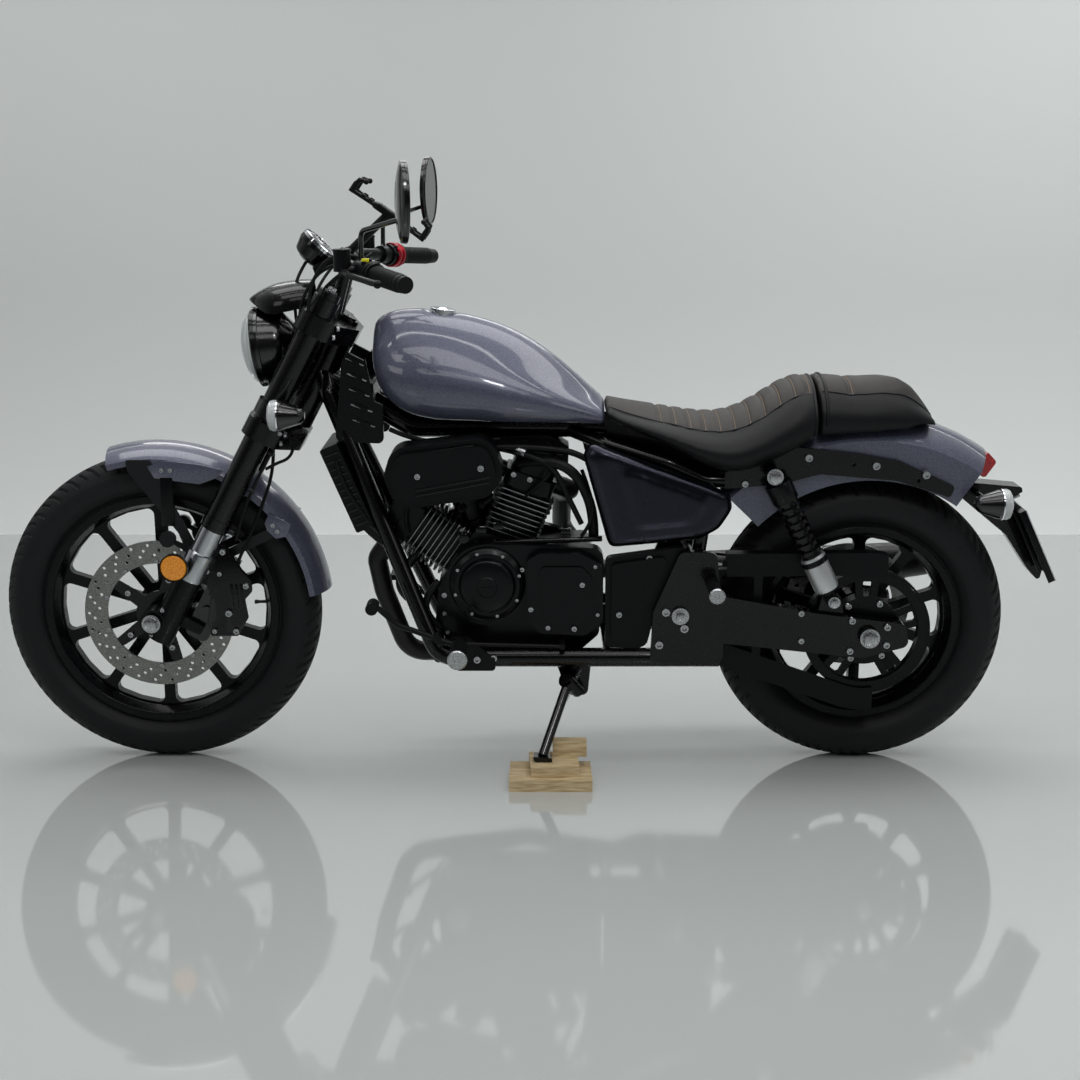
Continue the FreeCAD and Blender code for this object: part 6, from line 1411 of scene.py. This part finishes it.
# %% Shock cans, collars and bolts
form, collars = bmesh.new(), bmesh.new()
for side in BOTH:
    top, low = Vector((542, side * 147, 660)), Vector((674, side * 147, 394))
    length = (low - top).length
    rows = [(0.64, 20), (0.64, 25), (0.655, 26.5), (0.88, 26.5), (0.905, 24), (0.905, 18)]
    lathe(form, [(share * length, radius) for share, radius in rows], top, low, 48)
    rows = [(0.06, 12), (0.06, 27.4), (0.075, 28.2), (0.19, 28.2), (0.20, 26), (0.20, 14)]
    lathe(collars, [(share * length, radius) for share, radius in rows], top, low, 48)
finished(form, "shock_cans", "chassis", can_alloy)
finished(collars, "shock_collars", "chassis", satin_black)
fasteners("shock_bolts", "chassis", [((x, side * 165, z, radius), (0, side, 0)) for side in BOTH
                                     for x, z, radius in ((542, 660, 13), (674, 394, 9.5))],
          zinc, "hex")
fasteners("rear_axle_bolts", "chassis", [((752.5, side * 161.2, 315, 16), (0, side, 0)) for side in BOTH],
          zinc, "hex")
screws_on("swingarm_pivot_bolts", "chassis", "pivot_pin", [(355, 365, 10)], BOTH, "hex")

# %% [markdown]
# Two long slots lighten the belt guard. They are dark bars let into its face, painted shade that stands for the
# hollow of each slot, since only its darkness shows.

# %% Painted shade in the slots of the belt guard
form = bmesh.new()
for x in (482, 551):
    face = outer_face("belt_guards", x, 472)
    if face:
        block(form, (x, face.y - 0.3, 472), (34, 1, 10), edge=0.4)
finished(form, "guard_slot_painted_shade", "chassis", rubber)

# %% [markdown]
# The rider's and the pillion's pegs have ribbed rubbers with bright caps, and the shift lever's toe has a
# ribbed rubber too. A rib is one small spun profile, repeated along the peg.

# %% Peg rubbers and caps
form, caps = bmesh.new(), bmesh.new()
for side in BOTH:
    for k in range(9):
        lathe(form, [(0, 15.6), (0.6, 18), (4.6, 18), (5.2, 15.6)], (-104, side * (192 + 9 * k), 306),
              (-104, side * 300, 306), 24)
    lathe(caps, [(0, 13), (0, 19), (2, 20.4), (6, 20.4), (8, 18), (8, 6), (6.6, 5), (6.6, 0)],
          (-104, side * 274, 306), (-104, side * 300, 306), 36)
    for k in range(6):
        lathe(form, [(0, 11.6), (0.6, 14), (4.6, 14), (5.2, 11.6)], (421, side * (186 + 9.4 * k), 432),
              (421, side * 300, 432), 24)
    lathe(caps, [(0, 11), (0, 15), (2, 16.4), (6, 16.4), (8, 14), (8, 5), (6.6, 4), (6.6, 0)],
          (421, side * 246, 432), (421, side * 300, 432), 36)
for k in range(5):
    lathe(form, [(0, 10.6), (0.6, 12.8), (4.4, 12.8), (5, 10.6)], (-280, -189 - 9 * k, 398),
          (-280, -300, 398), 24)
finished(form, "peg_rubbers", "chassis", rubber)
finished(caps, "peg_caps", "chassis", zinc)

# %% [markdown]
# The stand's return spring is a close coil. At this size a stack of thin rings on a rod reads as its
# turns, with far fewer faces than a swept helix, and it folds away with the stand.

# %% Spring of the side stand
stand_top, stand_low = Vector((150, -128, 236)), Vector((100, -172, 150))
form = bmesh.new()
for k in range(16):
    spot = stand_top + (stand_low - stand_top) * (0.12 + 0.045 * k)
    lathe(form, [(-1, 4.4), (0, 5.6), (1, 4.4)], spot, stand_low, 16)
drum(form, stand_top, stand_low, 1.4, sides=8)
finished(form, "stand_spring", "stand", steel)

# %% [markdown]
# ## Cables at the neck
# Two short hoses loop back from the left leg, and a third runs down it to the caliper under three clips.
# They stay clear of the frame at full lock, so they turn with the fork.

# %% Loops behind the fork
hose("loop_hose_upper", [(-511, -105, 673), (-489, -100, 708), (-467, -95, 730), (-446, -90, 739),
                         (-428, -86, 743)], 3.4)
hose("loop_hose_lower", [(-505, -105, 664), (-482, -100, 676), (-462, -95, 682), (-450, -88, 696),
                         (-448, -84, 712)], 3.4)
hose("leg_hose", [fork(470, 62, -112), fork(380, 60, -112), fork(300, 64, -110), fork(236, 78, -104)], 3.4)
form = bmesh.new()
for up in (250, 350, 440):
    drum(form, fork(up, 56, -112), fork(up, 68, -112), 6, sides=16, edge=0.8)
finished(form, "hose_clips", "fork", dark_steel)

# %% [markdown]
# ## The studio
# The camera stands off the machine's left side, above its middle, and looks slightly down with a normal
# lens.

# %% Camera
camera_data = bpy.data.cameras.new("studio_camera")
camera_data.lens, camera_data.sensor_width = 53.33, 36.0
camera = bpy.data.objects.new("studio_camera", camera_data)
camera.location = (0.0331, -3.3487, 0.908)
camera.rotation_euler = (radians(90 - 7.05), 0, 0)
scene.collection.objects.link(camera)
scene.camera = camera
print("camera at", [round(place, 3) for place in camera.location], "lens", round(camera_data.lens, 1))

# %% [markdown]
# The floor is pale and glossy, so it takes the machine's reflection, and it meets a matte wall in a wide
# cove.

# %% Floor and backdrop
BEHIND, AHEAD, WIDE, BEND, HIGH = 4.2, -9.0, 14.0, 1.2, 7.0


def studio_sheet(name, line, finish):
    """A sheet swept across the studio from a line of (y, z) points, which isn't part of the machine."""
    form = bmesh.new()
    verts = [form.verts.new((-WIDE, y, z)) for y, z in line]
    made = bmesh.ops.extrude_edge_only(form, edges=[form.edges.new(pair) for pair in zip(verts, verts[1:])])
    bmesh.ops.translate(form, verts=[item for item in made["geom"] if isinstance(item, bmesh.types.BMVert)],
                        vec=(2 * WIDE, 0, 0))
    bmesh.ops.recalc_face_normals(form, faces=form.faces)
    mesh = bpy.data.meshes.new(name)
    form.to_mesh(mesh)
    form.free()
    mesh.shade_smooth()
    mesh.materials.append(finish)
    sheet = bpy.data.objects.new(name, mesh)
    scene.collection.objects.link(sheet)


floor_finish = pattern(coating("studio_floor", "b2b6b4", 0.0, 0.06, IOR=2.0), "noise", 0.7,
                       rough=(0.035, 0.07))
wall_finish = pattern(coating("studio_wall", "d9dddc", 0.0, 0.9), "noise", 0.5, rough=(0.85, 0.95))
studio_sheet("studio_floor", [(AHEAD, 0.0), (BEHIND, 0.0)], floor_finish)
cove = [(BEHIND + BEND * sin(a), BEND - BEND * cos(a)) for a in (pi / 2 * k / 12 for k in range(13))]
studio_sheet("studio_wall", cove + [(BEHIND + BEND, HIGH)], wall_finish)
print("studio from", AHEAD, "to", BEHIND + BEND, "m")

# %% [markdown]
# Long soft boxes hang over the machine, so that the tank and the seats take broad, even reflections and
# one fine bright line. Weak panels at the left open the shadows, a strip behind draws the upper edges,
# and two washes light the wall, more at the right.

# %% Lamps
def soft_lamp(name, place, aim, size, power):
    """A rectangular lamp at a place, turned towards a point."""
    data = bpy.data.lights.new(name, "AREA")
    data.shape, data.size, data.size_y, data.energy = "RECTANGLE", size[0], size[1], power
    lamp = bpy.data.objects.new(name, data)
    lamp.location = place
    lamp.rotation_euler = (Vector(aim) - Vector(place)).to_track_quat("-Z", "Y").to_euler()
    scene.collection.objects.link(lamp)


soft_lamp("ceiling_left", (0.1, -1.7, 3.1), (0.1, -0.3, 0.5), (4.6, 0.9), 33)
soft_lamp("ceiling_middle", (0.1, 0.3, 3.3), (0.1, 0.1, 0.4), (4.6, 1.1), 50)
soft_lamp("bright_line", (0.1, -0.75, 3.2), (0.1, -0.2, 0.5), (4.4, 0.06), 7)
soft_lamp("left_panel", (0.3, -3.1, 2.6), (0.3, 0, 0.6), (3.4, 0.7), 12)
soft_lamp("left_spark", (0.75, -2.7, 2.7), (0.3, 0, 0.6), (0.5, 0.3), 12)
soft_lamp("front_left", (-3.4, -3.2, 2.3), (-0.3, 0, 0.6), (1.4, 1.2), 10)
soft_lamp("rear_left", (3.4, -3.0, 2.0), (0.4, 0, 0.5), (1.4, 1.2), 8)
soft_lamp("back_edge", (0.0, 3.0, 3.4), (0, 0, 0.7), (4.0, 0.6), 36)
for x, power in ((-3.2, 60), (3.6, 96)):
    soft_lamp(f"wall_wash_{x}", (x, 2.6, 3.9), (x, 5.4, 0.9), (5.0, 0.5), power)

# %% [markdown]
# The air of the studio is bright behind the machine and dim on the camera's side, which keeps the black
# parts deep.

# %% Studio air
world = bpy.data.worlds.new("studio_air")
scene.world = world
world.use_nodes = True
air, links = world.node_tree.nodes, world.node_tree.links
air["Background"].inputs["Color"].default_value = (0.86, 0.88, 0.89, 1)
view_way, split, spread = (air.new("ShaderNode" + kind) for kind in ("TexCoord", "SeparateXYZ", "MapRange"))
for key, number in zip(("From Min", "From Max", "To Min", "To Max"), (-0.6, 0.5, 0.05, 0.8)):
    spread.inputs[key].default_value = number
links.new(view_way.outputs["Generated"], split.inputs["Vector"])
links.new(split.outputs["Y"], spread.inputs["Value"])
links.new(spread.outputs["Result"], air["Background"].inputs["Strength"])
print("air has", len(air), "nodes")
